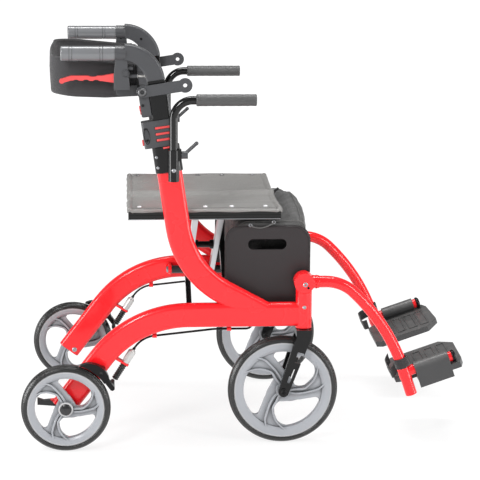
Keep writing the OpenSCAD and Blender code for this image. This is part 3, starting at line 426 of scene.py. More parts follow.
plainFinishes = {
    "sleeve": "blackEnamel", "clamp": "greyMould", "clamp_button": "redMould", "panel": "panelMould",
    "column": "blackEnamel", "grip": "gripRubber", "lever": "redMould", "bracket": "greyMould",
    "back_button": "redMould", "back_arm": "greyMould", "armrest": "armEnamel", "clamp_lever": "greyMould",
    "rear_tyre": "tyreRubber", "brake_arm": "blackMould", "fork": "blackEnamel", "front_tyre": "tyreRubber",
    "footplate": "plateMould", "armrest_pad": "foamRubber", "heel_strap": "webbing",
    "bellows": "bellowsRubber", "rail": "railEnamel",
}
for side, _ in sides:
    for node, look in plainFinishes.items():
        dress(f"{side}_{node}", mats[look])


# Zones round an axle or past a plane are black unless it is said otherwise
blackTint = (0.014, 0.014, 0.015)


def roundZone(at, radius, rough, tint=blackTint, beyond=0.0):
    return {"kind": "round", "at": at, "radius": radius, "rough": rough, "tint": tint, "beyond": beyond}


def pastZone(at, aim, start, rough):
    return {"kind": "past", "at": at, "aim": aim, "from": start, "rough": rough, "tint": blackTint}


# A rim's outer lip is smoother, and tinted brighter than its face as a painted highlight
rimLipHighlight = {"tint": (0.42, 0.425, 0.435), "rough": 0.22, "over": 0.001, "wide": 0.0036}


def rimZones(node):
    low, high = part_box(node)
    centre = (low + high) / 2
    reach = (high.z - low.z) / 2
    return [roundZone(centre, reach + rimLipHighlight["over"], rimLipHighlight["rough"], rimLipHighlight["tint"]),
            roundZone(centre, reach - rimLipHighlight["wide"], rimMould["rough"], rimMould["tint"])]


# The brake's pull rod runs from its lug on the brake arm, measured from the rear axle, to the adjuster
rod = {"y": 236.0, "lug": (0.1055, 0.046), "adjuster": (-353.4, 207.4), "bellowsTop": (-362.8, 192.6)}
adjusterAt = spot(rod["adjuster"][0], rod["y"], rod["adjuster"][1])
lugX, lugZ = rod["lug"]
pullTilt = math.atan2(adjusterAt.x - rearAxle.x - lugX, adjusterAt.z - rearAxle.z - lugZ)

# Zones in metres: how far out they start, their radius, and where the black ends begin
legTilt = math.radians(52.5)
legAim = Vector((-math.cos(legTilt), 0.0, -math.sin(legTilt)))
rear = Vector((rearAxle.x, 0.0, rearAxle.z))
brakePin = (rear.x + 0.0805, 0.0, rear.z + 0.082)
frameZones = [pastZone(rear, legAim, 0.0155, 0.4), roundZone(rear, 0.018, 0.4, beyond=0.2556),
              roundZone(brakePin, 0.006, 0.5, beyond=0.2556)]
hubZones = [roundZone(rear, 0.0168, 0.2, (0.52, 0.52, 0.53), 0.29),
            roundZone(rear, 0.0133, 0.25, beyond=0.2935)]
for side, sign in sides:
    foot = (footPivot.x, sign * frameY, footPivot.z)
    footEnd = pastZone(foot, (footAxis.x, 0.0, footAxis.z), 0.1172, 0.4)
    wireEnd = {"kind": "near", "at": spot(-318.0, 240, 850.7, sign), "radius": 0.0125,
               "tint": (0.55, 0.54, 0.52), "rough": 0.5}
    barrel = {"kind": "near", "at": (adjusterAt.x, sign * rod["y"] * mm, adjusterAt.z), "radius": 0.0205,
              "tint": (0.62, 0.62, 0.61), "rough": 0.36, "metal": 0.75}
    zoned = (("frame", looks["redEnamel"], frameZones), ("hanger", looks["redEnamel"], [footEnd]),
             ("rear_rim", rimMould, rimZones(f"{side}_rear_rim") + hubZones),
             ("front_rim", rimMould, rimZones(f"{side}_front_rim")),
             ("handle", looks["greyMould"], [wireEnd]), ("cable", looks["blackMould"], [barrel]))
    for node, look, zones in zoned:
        dress(f"{side}_{node}", finish(f"{node}.{side}", look, zones))
dress("brace_black", mats["blackEnamel"])
tube = dict(pastZone((0.0, 0.19, 0.0), (0.0, 1.0, 0.0), 0.0, 0.35), metal=0.0)
dress("brace_silver", finish("brushedSilver", brushedSilver, [tube]))
print("packed parts dressed")

# The seat cloth lies over both rails, sags between them, and is hemmed all round. Welts run along the
# rails and hems across the ends, each with its height, its place from the edge and its spread. Ripples
# have a height, steps along and across, a layer of the noise and how soon they fade at the rails.
seat = {"sag": 9.0, "crease": 10.0, "thick": 2.2, "steps": (120, 132), "flatWide": 471.0, "flatHalf": 0.217,
        "railIn": 0.031, "lift": 0.0016, "rivets": (-326, -177, -117, -40), "squeeze": 0.09, "blendY": 0.19,
        "welts": ((1.9, 8.0, 3.5), (-1.6, 15.0, 2.6)),
        "hems": ((1.8, 5.5, 3.0), (-1.6, 0.0, 1.2), (-1.1, 12.0, 1.6)),
        "ripples": ((0.0022, 9.0, 26.0, 0.4, 4.0), (0.0008, 30.0, 70.0, 2.7, 6.0)),
        "over": ((219.0, 0.0), (221.0, -0.8), (222.0, -2.8), (222.2, -6.0)), "overWave": 0.8,
        "pull": 0.0013, "pullIn": 0.05, "pullWide": 0.02, "creaseWave": (0.006, 13.0), "creaseWide": 0.012,
        "edgeWave": (2.0, 31.0), "frontWave": (0.0035, 22.0, 5.1), "frontWide": 0.016}
low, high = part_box("seat_sling")
seatStart, seatEnd = low.x, high.x
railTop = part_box("right_rail")[1].z
seatHalf = high.y
rivetPlaces = [frontAxle.x + x * mm for x in seat["rivets"]]


def seatHeight(x, y):
    inner = max(0.0, 1.0 - abs(y) / (seatHalf - seat["railIn"]))
    z = -seat["sag"] * mm * (1.0 - (1.0 - inner) ** 2)
    swing, often = seat["creaseWave"]
    z += seat["crease"] * mm * bell(y - swing * math.sin(x * often), seat["creaseWide"])
    swing, often = seat["edgeWave"]
    edge = (seatHalf - abs(y)) / mm - swing * math.sin(x * often)
    z += bumps(edge, seat["welts"]) * mm
    for height, along, across, layer, fade in seat["ripples"]:
        z += height * noise.noise(Vector((x * along, y * across, layer))) * min(1.0, inner * fade)
    beside = bell(abs(y) - seatHalf + seat["pullIn"], seat["pullWide"])
    for rivetX in rivetPlaces:
        z += seat["pull"] * bell(x - rivetX, seat["pullWide"]) * beside
    return z


# The cloth's turned edge; only its lowest row waves
def turnedEdge(sign, wave):
    edge = [(sign * out * mm, drop * mm) for out, drop in seat["over"]]
    out, drop = seat["over"][-1]
    return edge[:-1] + [(sign * out * mm, (drop + seat["overWave"] * wave) * mm)]


rows = []
lengthSteps, crossSteps = seat["steps"]
swing, often, layer = seat["frontWave"]
for i in range(lengthSteps + 1):
    share = i / lengthSteps
    x = seatStart + (seatEnd - seatStart) * (share - seat["squeeze"] * math.sin(2 * math.pi * share))
    ends = min(x - seatStart, seatEnd - x) / mm
    roll = bumps(ends, seat["hems"])
    row = turnedEdge(-1, math.sin(x * 60.0))[::-1]
    for k in range(crossSteps + 1):
        y = -seat["flatHalf"] + 2 * seat["flatHalf"] * k / crossSteps
        row.append((y, seatHeight(x, y)))
    row += turnedEdge(1, math.sin(x * 55.0 + 1.0))
    line = []
    for y, z in row:
        front = bell(x - seatStart, seat["frontWide"])
        edge = swing * noise.noise(Vector((y * often, layer, 0.0))) * front
        line.append(Vector((x + edge, y, railTop + seat["lift"] + z + roll * mm)))
    rows.append(line)
sling = skin("seatSling", rows, mats["seatCloth"], ring=False)
solid = sling.modifiers.new("solidify", "SOLIDIFY")
solid.thickness = seat["thick"] * mm
solid.offset = 0.0
settle(sling)
smooth(sling.data)
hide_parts("seat_sling")
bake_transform(sling)
print("seat cloth laid")

# The backrest band is one padded strip bent round the back. Its edges are given by the distance behind
# the pivot, with the heights of its lower and upper edge there.
band = {"bend": 62.0, "half": 4.0, "bow": 4.0, "skew": 0.021, "hem": 4.5, "hemSink": 0.3, "hemRadius": 0.8,
        "tip": 2.0, "ring": 28, "steps": (25, 13, 41), "rim": (0.8, 0.2), "powers": (0.55, 0.32),
        "ripple": (0.0005, 0.9, 3.0),
        "edges": ((0.0, -14.0, 55.0), (80.0, -18.0, 62.5), (150.0, -15.5, 69.0), (208.0, -11.0, 73.0),
                  (230.0, -10.0, 74.0))}


def bandEdge(back):
    edges = band["edges"]
    for (b0, l0, t0), (b1, l1, t1) in zip(edges, edges[1:]):
        if back <= b1:
            share = (back - b0) / (b1 - b0)
            return l0 + (l1 - l0) * share, t0 + (t1 - t0) * share
    return edges[-1][1:]


low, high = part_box("back_band")
bandY = high.y - band["half"] * mm
bend = band["bend"] * mm
rearX = low.x + band["half"] * mm
tipX = high.x - band["tip"] * mm
armSteps, bendSteps, backSteps = band["steps"]
deep, often, slant = band["ripple"]
thinnest, more = band["rim"]
path = []
for i in range(armSteps):
    path.append((tipX - (tipX - rearX - bend) * i / armSteps, -bandY))
for i in range(bendSteps):
    turn = math.radians(90.0 * i / bendSteps)
    path.append((rearX + bend - bend * math.sin(turn), -bandY + bend - bend * math.cos(turn)))
farHalf = [(x, -y) for x, y in reversed(path)]
for i in range(backSteps):
    bow = band["bow"] * mm * math.sin(math.pi * i / backSteps) ** 2
    path.append((rearX - bow, -bandY + bend + 2 * (bandY - bend) * i / backSteps))
path += [(rearX, bandY - bend)] + farHalf
path = [(x - band["skew"] * y * (high.x - x) / (high.x - rearX), y) for x, y in path]
rows = []
hems = {"bandTopHem": [], "bandLowHem": []}
for i, (x, y) in enumerate(path):
    out = outFrom(path, i)
    lowZ, topZ = bandEdge((backPivot.x - x) * 1000)
    row = []
    for turn in turns(band["ring"]):
        across = signedPower(math.cos(turn), band["powers"][0])
        rise = signedPower(math.sin(turn), band["powers"][1])
        ripple = deep * math.sin(i * often + slant * rise) * (1.0 - rise * rise)
        offset = band["half"] * mm * across * (thinnest + more * (1 - rise * rise)) + ripple
        z = backPivot.z + ((topZ + lowZ) / 2 + (topZ - lowZ) / 2 * rise) * mm
        row.append(Vector((x + out.x * offset, y + out.y * offset, z)))
    rows.append(row)
    face = Vector((x, y)) + out * (band["half"] - band["hemSink"]) * mm
    hems["bandTopHem"].append(Vector((face.x, face.y, backPivot.z + (topZ - band["hem"]) * mm)))
    hems["bandLowHem"].append(Vector((face.x, face.y, backPivot.z + (lowZ + band["hem"]) * mm)))
strip = skin("backBand", rows, mats["bandCloth"])


def hangBand(piece):
    hold(piece, "right_backrest_arm")
    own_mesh(piece)


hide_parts("back_band")
hangBand(strip)
print("backrest band bent")

# The bag hangs between the side panels; its lid bows forward and its far end sits lower.
# Body, lid and pocket are rounded boxes: middle across and up, width, height and corner.
bagShape = {"body": (-30.0, 421.0, 160.0, 188.0, 30.0), "lid": (27.0, 462.0, 50.0, 118.0, 24.0),
            "pocket": (-34.0, 420.0, 128.0, 142.0, 28.0), "heart": (18.0, 430.0), "bow": 11.0, "lift": 5.0,
            "farDrop": 20.0, "nearDrop": 5.0, "ring": 88, "steps": 68, "reach": 260.0, "halvings": 22,
            "folds": ((3.4, 5.0, 2.2, 0.0), (1.3, 14.0, 6.0, 3.0)), "tight": 5.0,
            "pockets": ((0.3, 0.05), (0.96, 0.045), (1.0, 0.0008))}
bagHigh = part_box("bag")[1].y
bagHalf = bagHigh - 0.0012
heartX, heartZ = bagShape["heart"]


def boxAway(x, z, shape):
    across, up, wide, tall, corner = shape
    left = abs(x - across) - wide / 2 + corner
    over = abs(z - up) - tall / 2 + corner
    return math.hypot(max(left, 0.0), max(over, 0.0)) + min(max(left, over), 0.0) - corner


def boxReach(turn, shapes):
    near, far = 0.0, bagShape["reach"]
    for _ in range(bagShape["halvings"]):
        half = (near + far) / 2
        x, z = heartX + math.cos(turn) * half, heartZ + math.sin(turn) * half
        if min(boxAway(x, z, shape) for shape in shapes) < 0.0:
            near = half
        else:
            far = half
    return near


def bagPoint(share, turn, grow=0.0):
    end = abs(share)
    drop = bagShape["farDrop"] if share > 0 else bagShape["nearDrop"]
    bow = 1.0 - share * share
    lid = list(bagShape["lid"])
    lid[0] += bagShape["bow"] * bow
    lid[1] += bagShape["lift"] * bow - drop * end ** 3
    aimX, aimZ = math.cos(turn), math.sin(turn)
    near = boxReach(turn, (bagShape["body"], lid))
    fold = 0.0
    for height, along, around, shift in bagShape["folds"]:
        fold += noise.noise(Vector((share * along, aimX * around + shift, aimZ * around))) * height
    reach = near + fold * (1.0 - end ** 12) - bagShape["tight"] * end ** 14 + grow
    return spot(heartX + aimX * reach, 0.0, heartZ + aimZ * reach) + Vector((0.0, bagHalf * share, 0.0))


# Each end of the bag is sunk behind the panel's hand slot
def bagPocket(share, scale, sink):
    ring = []
    for turn in turns(bagShape["ring"]):
        reach = boxReach(turn, (bagShape["pocket"],)) * scale
        point = spot(heartX + reach * math.cos(turn), 0.0, heartZ + reach * math.sin(turn))
        ring.append(point + Vector((0.0, bagHalf * share - math.copysign(sink, share), 0.0)))
    return ring


rows = [bagPocket(-1.0, scale, sink) for scale, sink in bagShape["pockets"]]
for i in range(bagShape["steps"] + 1):
    share = -1.0 + 2.0 * i / bagShape["steps"]
    rows.append([bagPoint(share, turn) for turn in turns(bagShape["ring"])])
rows += [bagPocket(1.0, scale, sink) for scale, sink in reversed(bagShape["pockets"])]
bag = skin("carryBag", rows, mats["bagCloth"])


def hangBag(piece):
    hold(piece, "right_side")
    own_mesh(piece)


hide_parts("bag")
hangBag(bag)
print("bag hung")

# Webbing heel straps, one band round each hanger with a loop behind the heel
strap = {"ring": 14.7, "thick": 1.8, "wide": 24.0, "up": 14.0, "across": 90.0, "turn": 10.6,
         "back": {"right": 18.0, "left": 26.0}, "droop": {"right": 27.0, "left": 6.0}}


def footMatrix(sign):
    return sideMatrix((footPivot.x, sign * frameY, footPivot.z), footTilt, sign)


def ribbon(name, points, matrix, closed=False, droop=0.0):
    rows = []
    back = -min(u for u, _ in points)
    for i, (u, y) in enumerate(points):
        level = strap["up"] + strap["wide"] / 2 - droop * max(-u, 0.0) / back
        out = outFrom(points, i, closed)
        row = []
        for turn in turns(12):
            across = signedPower(math.cos(turn), 0.5) * strap["thick"] / 2
            rise = signedPower(math.sin(turn), 0.25) * strap["wide"] / 2
            row.append(matrix @ (Vector((u + out.x * across, y + out.y * across, level + rise)) * mm))
        rows.append(row)
    if closed:
        rows.append(rows[0])
    piece = skin(name, rows, mats["webbing"], caps=not closed)
    faceOut(piece, weld=closed)
    return piece


for side, sign in sides:
    radius = strap["ring"] + strap["thick"] / 2
    ring = [(radius * math.cos(turn), radius * math.sin(turn)) for turn in turns(40)]
    back = strap["back"][side]
    loop = [(-u, radius) for u in range(0, int(back), 2)]
    for centre, first in ((radius + strap["turn"], 0.0), (radius + strap["across"] - strap["turn"], 90.0)):
        for a in range(9):
            turn = math.radians(first + 90.0 * a / 8)
            loop.append((-back - strap["turn"] * math.sin(turn), centre - strap["turn"] * math.cos(turn)))
    loop.append((1.0 - back, radius + strap["across"]))
    hold(ribbon(f"{side}HeelBand", ring, footMatrix(sign), True), f"{side}_footrest")
    heel = ribbon(f"{side}HeelLoop", loop, footMatrix(sign), droop=strap["droop"][side])
    hold(heel, f"{side}_footrest")
    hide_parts(f"{side}_heel_strap")
print("heel straps sewn")


# A profile of radius and height, turned round an axis
def lathe(name, profile, origin, aim, material, steps=36):
    turnTo = Vector((0, 0, 1)).rotation_difference(Vector(aim)).to_matrix()
    rows = []
    for radius, height in profile:
        ring = [Vector((radius * math.cos(turn), radius * math.sin(turn), height)) for turn in turns(steps)]
        rows.append([origin + turnTo @ point for point in ring])
    return skin(name, rows, material)


# Foam pads, turned round the armrest tube, with rounded ends and a slightly worn side
pad = {"round": 0.0025, "hole": 0.0096, "sink": 0.004, "tip": 0.0005, "wear": 0.0004, "steps": 40}
for side, _ in sides:
    low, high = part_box(f"{side}_armrest_pad")
    centre = (low + high) / 2
    radius = (high.z - low.z) / 2
    length = high.x - low.x
    edge = pad["round"]
    quarter = [math.pi / 2 * k / 5 for k in range(6)]
    profile = [(pad["hole"], pad["sink"]), (radius - edge, 0.0)]
    for turn in quarter[1:]:
        profile.append((radius - edge * (1 - math.sin(turn)), edge * (1 - math.cos(turn))))
    for k in range(1, pad["steps"]):
        wear = pad["wear"] * abs(math.sin(k * 0.55)) * (0.4 + 0.6 * math.sin(k * 0.13) ** 2)
        profile.append((radius - wear, edge + (length - 2 * edge) * k / pad["steps"]))
    for turn in quarter:
        profile.append((radius - edge * (1 - math.cos(turn)), length - edge * (1 - math.sin(turn))))
    profile.append((pad["tip"], length))
    origin = Vector((low.x, centre.y, centre.z))
    foam = lathe(f"{side}ArmPad", profile, origin, (1, 0, 0), mats["foamRubber"])
    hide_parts(f"{side}_armrest_pad")
    hold(foam, f"{side}_armrest_set")

# Domed cap on the end of each foot bar
footCap = {"from": 115.4, "radius": 14.4, "dome": 5.5, "rim": 4.5, "edge": 1.6,
           "foot": ((0.2, 0.0), (12.4, 0.0), (13.8, 0.3))}
profile = [(radius * mm, height * mm) for radius, height in footCap["foot"]]
profile += [(footCap["radius"] * mm, height * mm) for height in (footCap["edge"], footCap["rim"])]
for k in range(1, 9):
    turn = math.pi / 2 * k / 8.2
    height = footCap["rim"] + footCap["dome"] * math.sin(turn)
    profile.append((footCap["radius"] * math.cos(turn) * mm, height * mm))
for side, sign in sides:
    origin = footMatrix(sign) @ Vector((footCap["from"] * mm, 0, 0))
    aim = Vector((footAxis.x, 0.0, footAxis.z)).normalized()
    cap = lathe(f"{side}FootCap", profile, origin, aim, mats["blackMould"])
    hold(cap, f"{side}_footrest")
print("arm pads and foot caps fitted")


# Geometry node trees for what repeats; each ends with instances made real and the material set
def geometryTree(name, inputs):
    geometry = {"Geometry": "Geometry"}
    return nodeGroup("Geometry", name, dict(geometry, **inputs), geometry)


def closeTree(w, out, geometry, material):
    real = w.put("GeometryNodeRealizeInstances", {"Geometry": geometry})
    paint = w.put("GeometryNodeSetMaterial", {"Geometry": real.outputs["Geometry"], "Material": material})
    w.feed(out["Geometry"], paint.outputs["Geometry"])
    return w.tree


def runTree(obj, tree, values):
    modifier = obj.modifiers.new(tree.name, "NODES")
    modifier.node_group = tree
    for item in tree.interface.items_tree:
        if item.item_type == "SOCKET" and item.in_out == "INPUT" and item.name in values:
            modifier[item.identifier] = values[item.name]
    return settle(obj)


def stamp(w, points, mesh, aim, scale=None):
    align = w.put("FunctionNodeAlignRotationToVector", {"Vector": aim}, axis="Z")
    feeds = {"Points": points, "Instance": mesh, "Scale": scale, "Rotation": align.outputs["Rotation"]}
    return w.put("GeometryNodeInstanceOnPoints", feeds).outputs["Instances"]


def toCurve(w, mesh):
    return w.put("GeometryNodeMeshToCurve", {"Mesh": mesh}).outputs["Curve"]


def sweep(w, curve, corners, radius):
    size = {"Resolution": corners, "Radius": radius}
    ring = w.put("GeometryNodeCurvePrimitiveCircle", size, mode="RADIUS").outputs["Curve"]
    return w.put("GeometryNodeCurveToMesh", {"Curve": curve, "Profile Curve": ring, "Fill Caps": True})


# Screw heads: a chamfered disc with a round socket, one on each point, facing its aim
def makeScrewTree(material):
    sizes = {"Thickness": 0.45, "Chamfer": 0.82, "Socket": 0.5, "Depth": 0.3}
    w, into, out = geometryTree("screwHeads", sizes)

    def push(mesh, selection, rise):
        feeds = {"Mesh": mesh, "Selection": selection, "Offset Scale": rise, "Individual": False}
        return w.put("GeometryNodeExtrudeMesh", feeds, mode="FACES").outputs

    def attribute(name, kind):
        return w.put("GeometryNodeInputNamedAttribute", {"Name": name}, data_type=kind).outputs["Attribute"]

    size = {"Vertices": 20, "Radius": 1.0, "Depth": into["Thickness"]}
    mesh = w.put("GeometryNodeMeshCylinder", size, fill_type="NGON").outputs["Mesh"]
    up = w.split(w.put("GeometryNodeInputNormal").outputs[0])["Z"]
    top = w.put("FunctionNodeCompare", {0: up, 1: 0.9}, data_type="FLOAT", operation="GREATER_THAN")
    selection = top.outputs["Result"]
    for rise, size in ((0.16, "Chamfer"), (0.0, "Socket")):
        pushed = push(mesh, selection, rise)
        selection = pushed["Top"]
        feeds = {"Geometry": pushed["Mesh"], "Selection": selection, "Scale": into[size]}
        mesh = w.put("GeometryNodeScaleElements", feeds, domain="FACE").outputs["Geometry"]
    sunk = push(mesh, selection, w.math("MULTIPLY", into["Depth"], -1.0))
    aim = attribute("aim", "FLOAT_VECTOR")
    heads = stamp(w, into["Geometry"], sunk["Mesh"], aim, attribute("size", "FLOAT"))
    return closeTree(w, out, heads, material)


# Stitches: short threads along a line of points
def makeStitchTree(material):
    w, into, out = geometryTree("stitchRow", {"Pitch": 0.005, "Length": 0.0034, "Thread": 0.0006})
    curve = toCurve(w, into["Geometry"])
    feeds = {"Curve": curve, "Length": into["Pitch"]}
    spaced = w.put("GeometryNodeCurveToPoints", feeds, mode="LENGTH").outputs
    size = {"Vertices": 6, "Radius": into["Thread"], "Depth": into["Length"]}
    thread = w.put("GeometryNodeMeshCylinder", size, fill_type="NGON")
    threads = stamp(w, spaced["Points"], thread.outputs["Mesh"], spaced["Tangent"])
    return closeTree(w, out, threads, material)


# Bellows: a tube whose radius rises and falls along its run
def makeBellowsTree(material):
    w, into, out = geometryTree("bellowsTube", {"Ribs": 8.0, "Root": 0.0053, "Rise": 0.0024})
    dense = w.put("GeometryNodeResampleCurve", {"Curve": toCurve(w, into["Geometry"]), "Count": 113})
    along = w.put("GeometryNodeSplineParameter").outputs["Factor"]
    wave = w.math("SINE", w.math("MULTIPLY", w.math("MULTIPLY", along, into["Ribs"]), math.pi))
    lift = w.math("MULTIPLY", w.math("POWER", w.math("ABSOLUTE", wave), 0.8), into["Rise"])
    radius = w.math("ADD", lift, into["Root"])
    solid = sweep(w, dense.outputs["Curve"], 28, 1.0)
    w.feed(solid.inputs["Scale"], radius)
    return closeTree(w, out, solid.outputs["Mesh"], material)


# Pipe: a round cord along a line of points
def makePipeTree():
    w, into, out = geometryTree("pipeRun", {"Radius": 0.0015, "Material": "Material"})
    solid = sweep(w, toCurve(w, into["Geometry"]), 10, into["Radius"])
    return closeTree(w, out, solid.outputs["Mesh"], into["Material"])


pipeTree = makePipeTree()
stitchTree = makeStitchTree(mats["stitchThread"])
bellowsTree = makeBellowsTree(mats["bellowsRubber"])
screwLooks = ("bareSteel", "blackMould", "dullSteel", "brightSteel", "redEnamel")
screwTrees = {look: makeScrewTree(mats[look]) for look in screwLooks}


# Fasteners are a place, an aim and a head radius each
def screws(name, body, fasteners, slot, look="bareSteel", **values):
    mesh = bpy.data.meshes.new(name)
    mesh.from_pydata([tuple(place) for place, _, _ in fasteners], [], [])
    mesh.attributes.new("aim", "FLOAT_VECTOR", "POINT")
    mesh.attributes.new("size", "FLOAT", "POINT")
    for i, (_, aim, size) in enumerate(fasteners):
        mesh.attributes["aim"].data[i].vector = aim
        mesh.attributes["size"].data[i].value = size * mm
    piece = runTree(addObject(name, mesh), screwTrees[look], values)
    if "aim" in piece.data.attributes:
        piece.data.attributes.remove(piece.data.attributes["aim"])
    smooth(piece.data, 35)
    hold(piece, body)


def polyline(name, points, closed=False):
    mesh = bpy.data.meshes.new(name)
    edges = [(i, i + 1) for i in range(len(points) - 1)]
    if closed:
        edges.append((len(points) - 1, 0))
    mesh.from_pydata([tuple(point) for point in points], edges, [])
    return addObject(name, mesh)


def pipe(name, points, radius, look, closed=False):
    values = {"Radius": radius * mm, "Material": mats[look]}
    piece = runTree(polyline(name, points, closed), pipeTree, values)
    smooth(piece.data)
    faceOut(piece)
    return piece


# Fasteners, by the piece that carries them: place in millimetres, facing, head radius
collar = {"rows": (66.0, 74.0), "dots": 10, "at": (240, 380.7), "radius": 0.0148, "dot": 2.2}
armBolt = {"out": 0.2615, "radius": 9.4, "head": {"Socket": 0.6, "Chamfer": 0.86, "Depth": 0.5}}
legPlug = {"along": 0.005, "in": 0.2257, "down": 0.011, "radius": 6.0}
for side, sign in sides:
    out = Vector((0, sign, 0))
    inward = -out
    forward = Vector((1, 0, 0))

    plug = Vector((rearAxle.x + legPlug["along"], sign * legPlug["in"], rearAxle.z - legPlug["down"]))
    hinge = Vector((backPivot.x, sign * armBolt["out"], backPivot.z))

    def at(x, y, z):
        return spot(x, y, z, sign)

    screws(f"{side}FrameBolts", f"{side}_side", [
        (at(46, 258.2, 325), out, 4.4),
        (at(-288.6, 257.0, 672), out, 3.4),
        (at(-285.2, 257.0, 648.6), out, 3.4),
        (at(-251, 284.0, 647), out, 4.6),
        (plug, inward, legPlug["radius"]),
        (at(-88.6, 204, 305.5), forward, 8.0),
        (at(-253.4, 204, 305.5), -forward, 8.0),
    ], "silver")
    screws(f"{side}KnuckleBolt", f"{side}_footrest", [(at(47.6, 256.8, 377.6), out, 5.6)], "silver")
    screws(f"{side}KnucklePin", f"{side}_footrest", [(at(54.5, 256.8, 370.0), out, 3.0)], "black_plastic",
           "blackMould")
    dots = []
    for shift, x in enumerate(collar["rows"]):
        for k in range(collar["dots"]):
            turn = 2 * math.pi * (k + 0.5 * shift) / collar["dots"]
            aim = Vector((0.0, math.cos(turn), math.sin(turn)))
            dots.append((at(x, *collar["at"]) + aim * collar["radius"], aim, collar["dot"]))
    screws(f"{side}CollarDots", f"{side}_footrest", dots, "red_paint", "redEnamel")
    screws(f"{side}ArmBolt", f"{side}_backrest_arm", [(hinge, out, armBolt["radius"])], "silver",
           "dullSteel", **armBolt["head"])
    screws(f"{side}HandleScrews", f"{side}_handle_set", [
        (at(-318, 250.9, 787), out, 3.0),
        (at(-366, 228.8, 889), inward, 3.2),
        (at(-316, 225.1, 886), inward, 3.0),
    ], "black_plastic", "blackMould")
    screws(f"{side}ForkBolts", f"{side}_caster", [
        (at(0, 271.0, 127), out, 6.4),
        (at(0, 209.0, 127), inward, 6.4),
    ], "black_paint", "blackMould")
print("fasteners set")

# Rivets hold the seat cloth to its rails, a seam runs beside them, and a bright steel strip along each
# rail's lower lip is a painted highlight
rivet = {"in": 0.024, "radius": 5.4, "head": {"Socket": 0.35, "Depth": 0.15}}
seam = {"in": 0.0045, "ends": 0.008, "steps": 80, "lift": 0.0031}
railLipHighlight = {"in": 0.0002, "ends": 0.002, "radius": 1.2}


def onSeat(x, y):
    return Vector((x, y, railTop + seam["lift"] + seatHeight(x, y)))


seatRails = (("right", -1, "silver_brace", "brightSteel"), ("left", 1, "black_brace", "dullSteel"))
for side, sign, body, look in seatRails:
    y = sign * (seatHalf - rivet["in"])
    heads = [(onSeat(x, y), Vector((0, 0, 1)), rivet["radius"]) for x in rivetPlaces]
    screws(f"{side}SeatRivets", body, heads, "silver", look, **rivet["head"])
    y = sign * (seatHalf - seam["in"])
    run = seatEnd - seatStart - 2 * seam["ends"]
    line = [onSeat(seatStart + seam["ends"] + run * k / seam["steps"], y) for k in range(seam["steps"] + 1)]
    thread = runTree(polyline(f"{side}SeatStitch", line), stitchTree, {})
    smooth(thread.data)
    hold(thread, body)
    # Painted highlight: a bright steel strip along the rail's lower lip
    low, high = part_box(f"{side}_rail")
    edge = (high if sign > 0 else low).y - sign * railLipHighlight["in"]
    ends = (low.x + railLipHighlight["ends"], high.x - railLipHighlight["ends"])
    line = [Vector((x, edge, low.z + railLipHighlight["ends"])) for x in ends]
    hold(pipe(f"{side}RailLip", line, railLipHighlight["radius"], "bareSteel"), body)

# Bellows over the brake's pull rod, clear of the lug below and of the adjuster above
bellows = {"fromLug": 0.0092, "fromTop": 0.0034, "ribs": {"Ribs": 8.0, "Root": 0.0053, "Rise": 0.0024}}
for side, sign in sides:
    start = Vector((rearAxle.x + lugX, sign * rod["y"] * mm, rearAxle.z + lugZ))
    top = spot(rod["bellowsTop"][0], rod["y"], rod["bellowsTop"][1], sign)
    way = (top - start).normalized()
    length = (top - start).length
    line = [start + way * bellows["fromLug"], start + way * (length - bellows["fromTop"])]
    cover = runTree(polyline(f"{side}Bellows", line), bellowsTree, bellows["ribs"])
    smooth(cover.data)
    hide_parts(f"{side}_bellows")
    hold(cover, f"{side}_side")
print("rivets and bellows set")

# Hems along the backrest band
for name, line in hems.items():
    hangBand(pipe(name, line, band["hemRadius"], "webbing"))

# Piping round both ends of the bag, two seams and its pull tab
bagTrim = {"piping": (("nearPiping", -0.965), ("farPiping", 0.965)), "pipingLift": 0.6, "pipingRadius": 1.5,
           "seams": (("lidSeam", 74.0), ("frontSeam", 18.0)), "seamLift": 0.5, "seamRadius": 1.1,
           "seamEnd": 0.96, "seamSteps": 60, "tabY": -45.0, "tabRadius": 3.0,
           "tab": ((-18.0, 509.0), (-10.0, 522.0), (0.0, 534.0), (12.0, 544.0))}
for name, share in bagTrim["piping"]:
    line = [bagPoint(share, turn, bagTrim["pipingLift"]) for turn in turns(120)]
    hangBag(pipe(name, line, bagTrim["pipingRadius"], "piping", True))
end, steps = bagTrim["seamEnd"], bagTrim["seamSteps"]
for name, turn in bagTrim["seams"]:
    shares = [-end + 2 * end * k / steps for k in range(steps + 1)]
    line = [bagPoint(share, math.radians(turn), bagTrim["seamLift"]) for share in shares]
    hangBag(pipe(name, line, bagTrim["seamRadius"], "piping"))
line = [spot(x, bagTrim["tabY"], z) for x, z in bagTrim["tab"]]
hangBag(pipe("pullTab", line, bagTrim["tabRadius"], "webbing"))

# A cord on two eyes above each side panel, and a lip along the panel's edge
cord = {"from": (-75.0, 506.0), "run": (53.0, 7.0), "sag": 8.0, "out": 212.4, "radius": 1.6,
        "eyes": ((-75.0, 507.0), (-22.0, 514.0)), "eyeOut": 212.0, "eye": 3.4, "wire": 0.9}
panelLip = {"out": 210.2, "start": (-130.0, 345.0), "end": (60.0, 362.0), "corner": 34.0, "centreZ": 468.0,
            "centres": ((-96.0, 180.0), (26.0, 90.0)), "radius": 1.5}


def ovalRing(x, y, z, wide, tall, count):
    return [(x + wide * math.cos(turn), y, z + tall * math.sin(turn)) for turn in turns(count)]


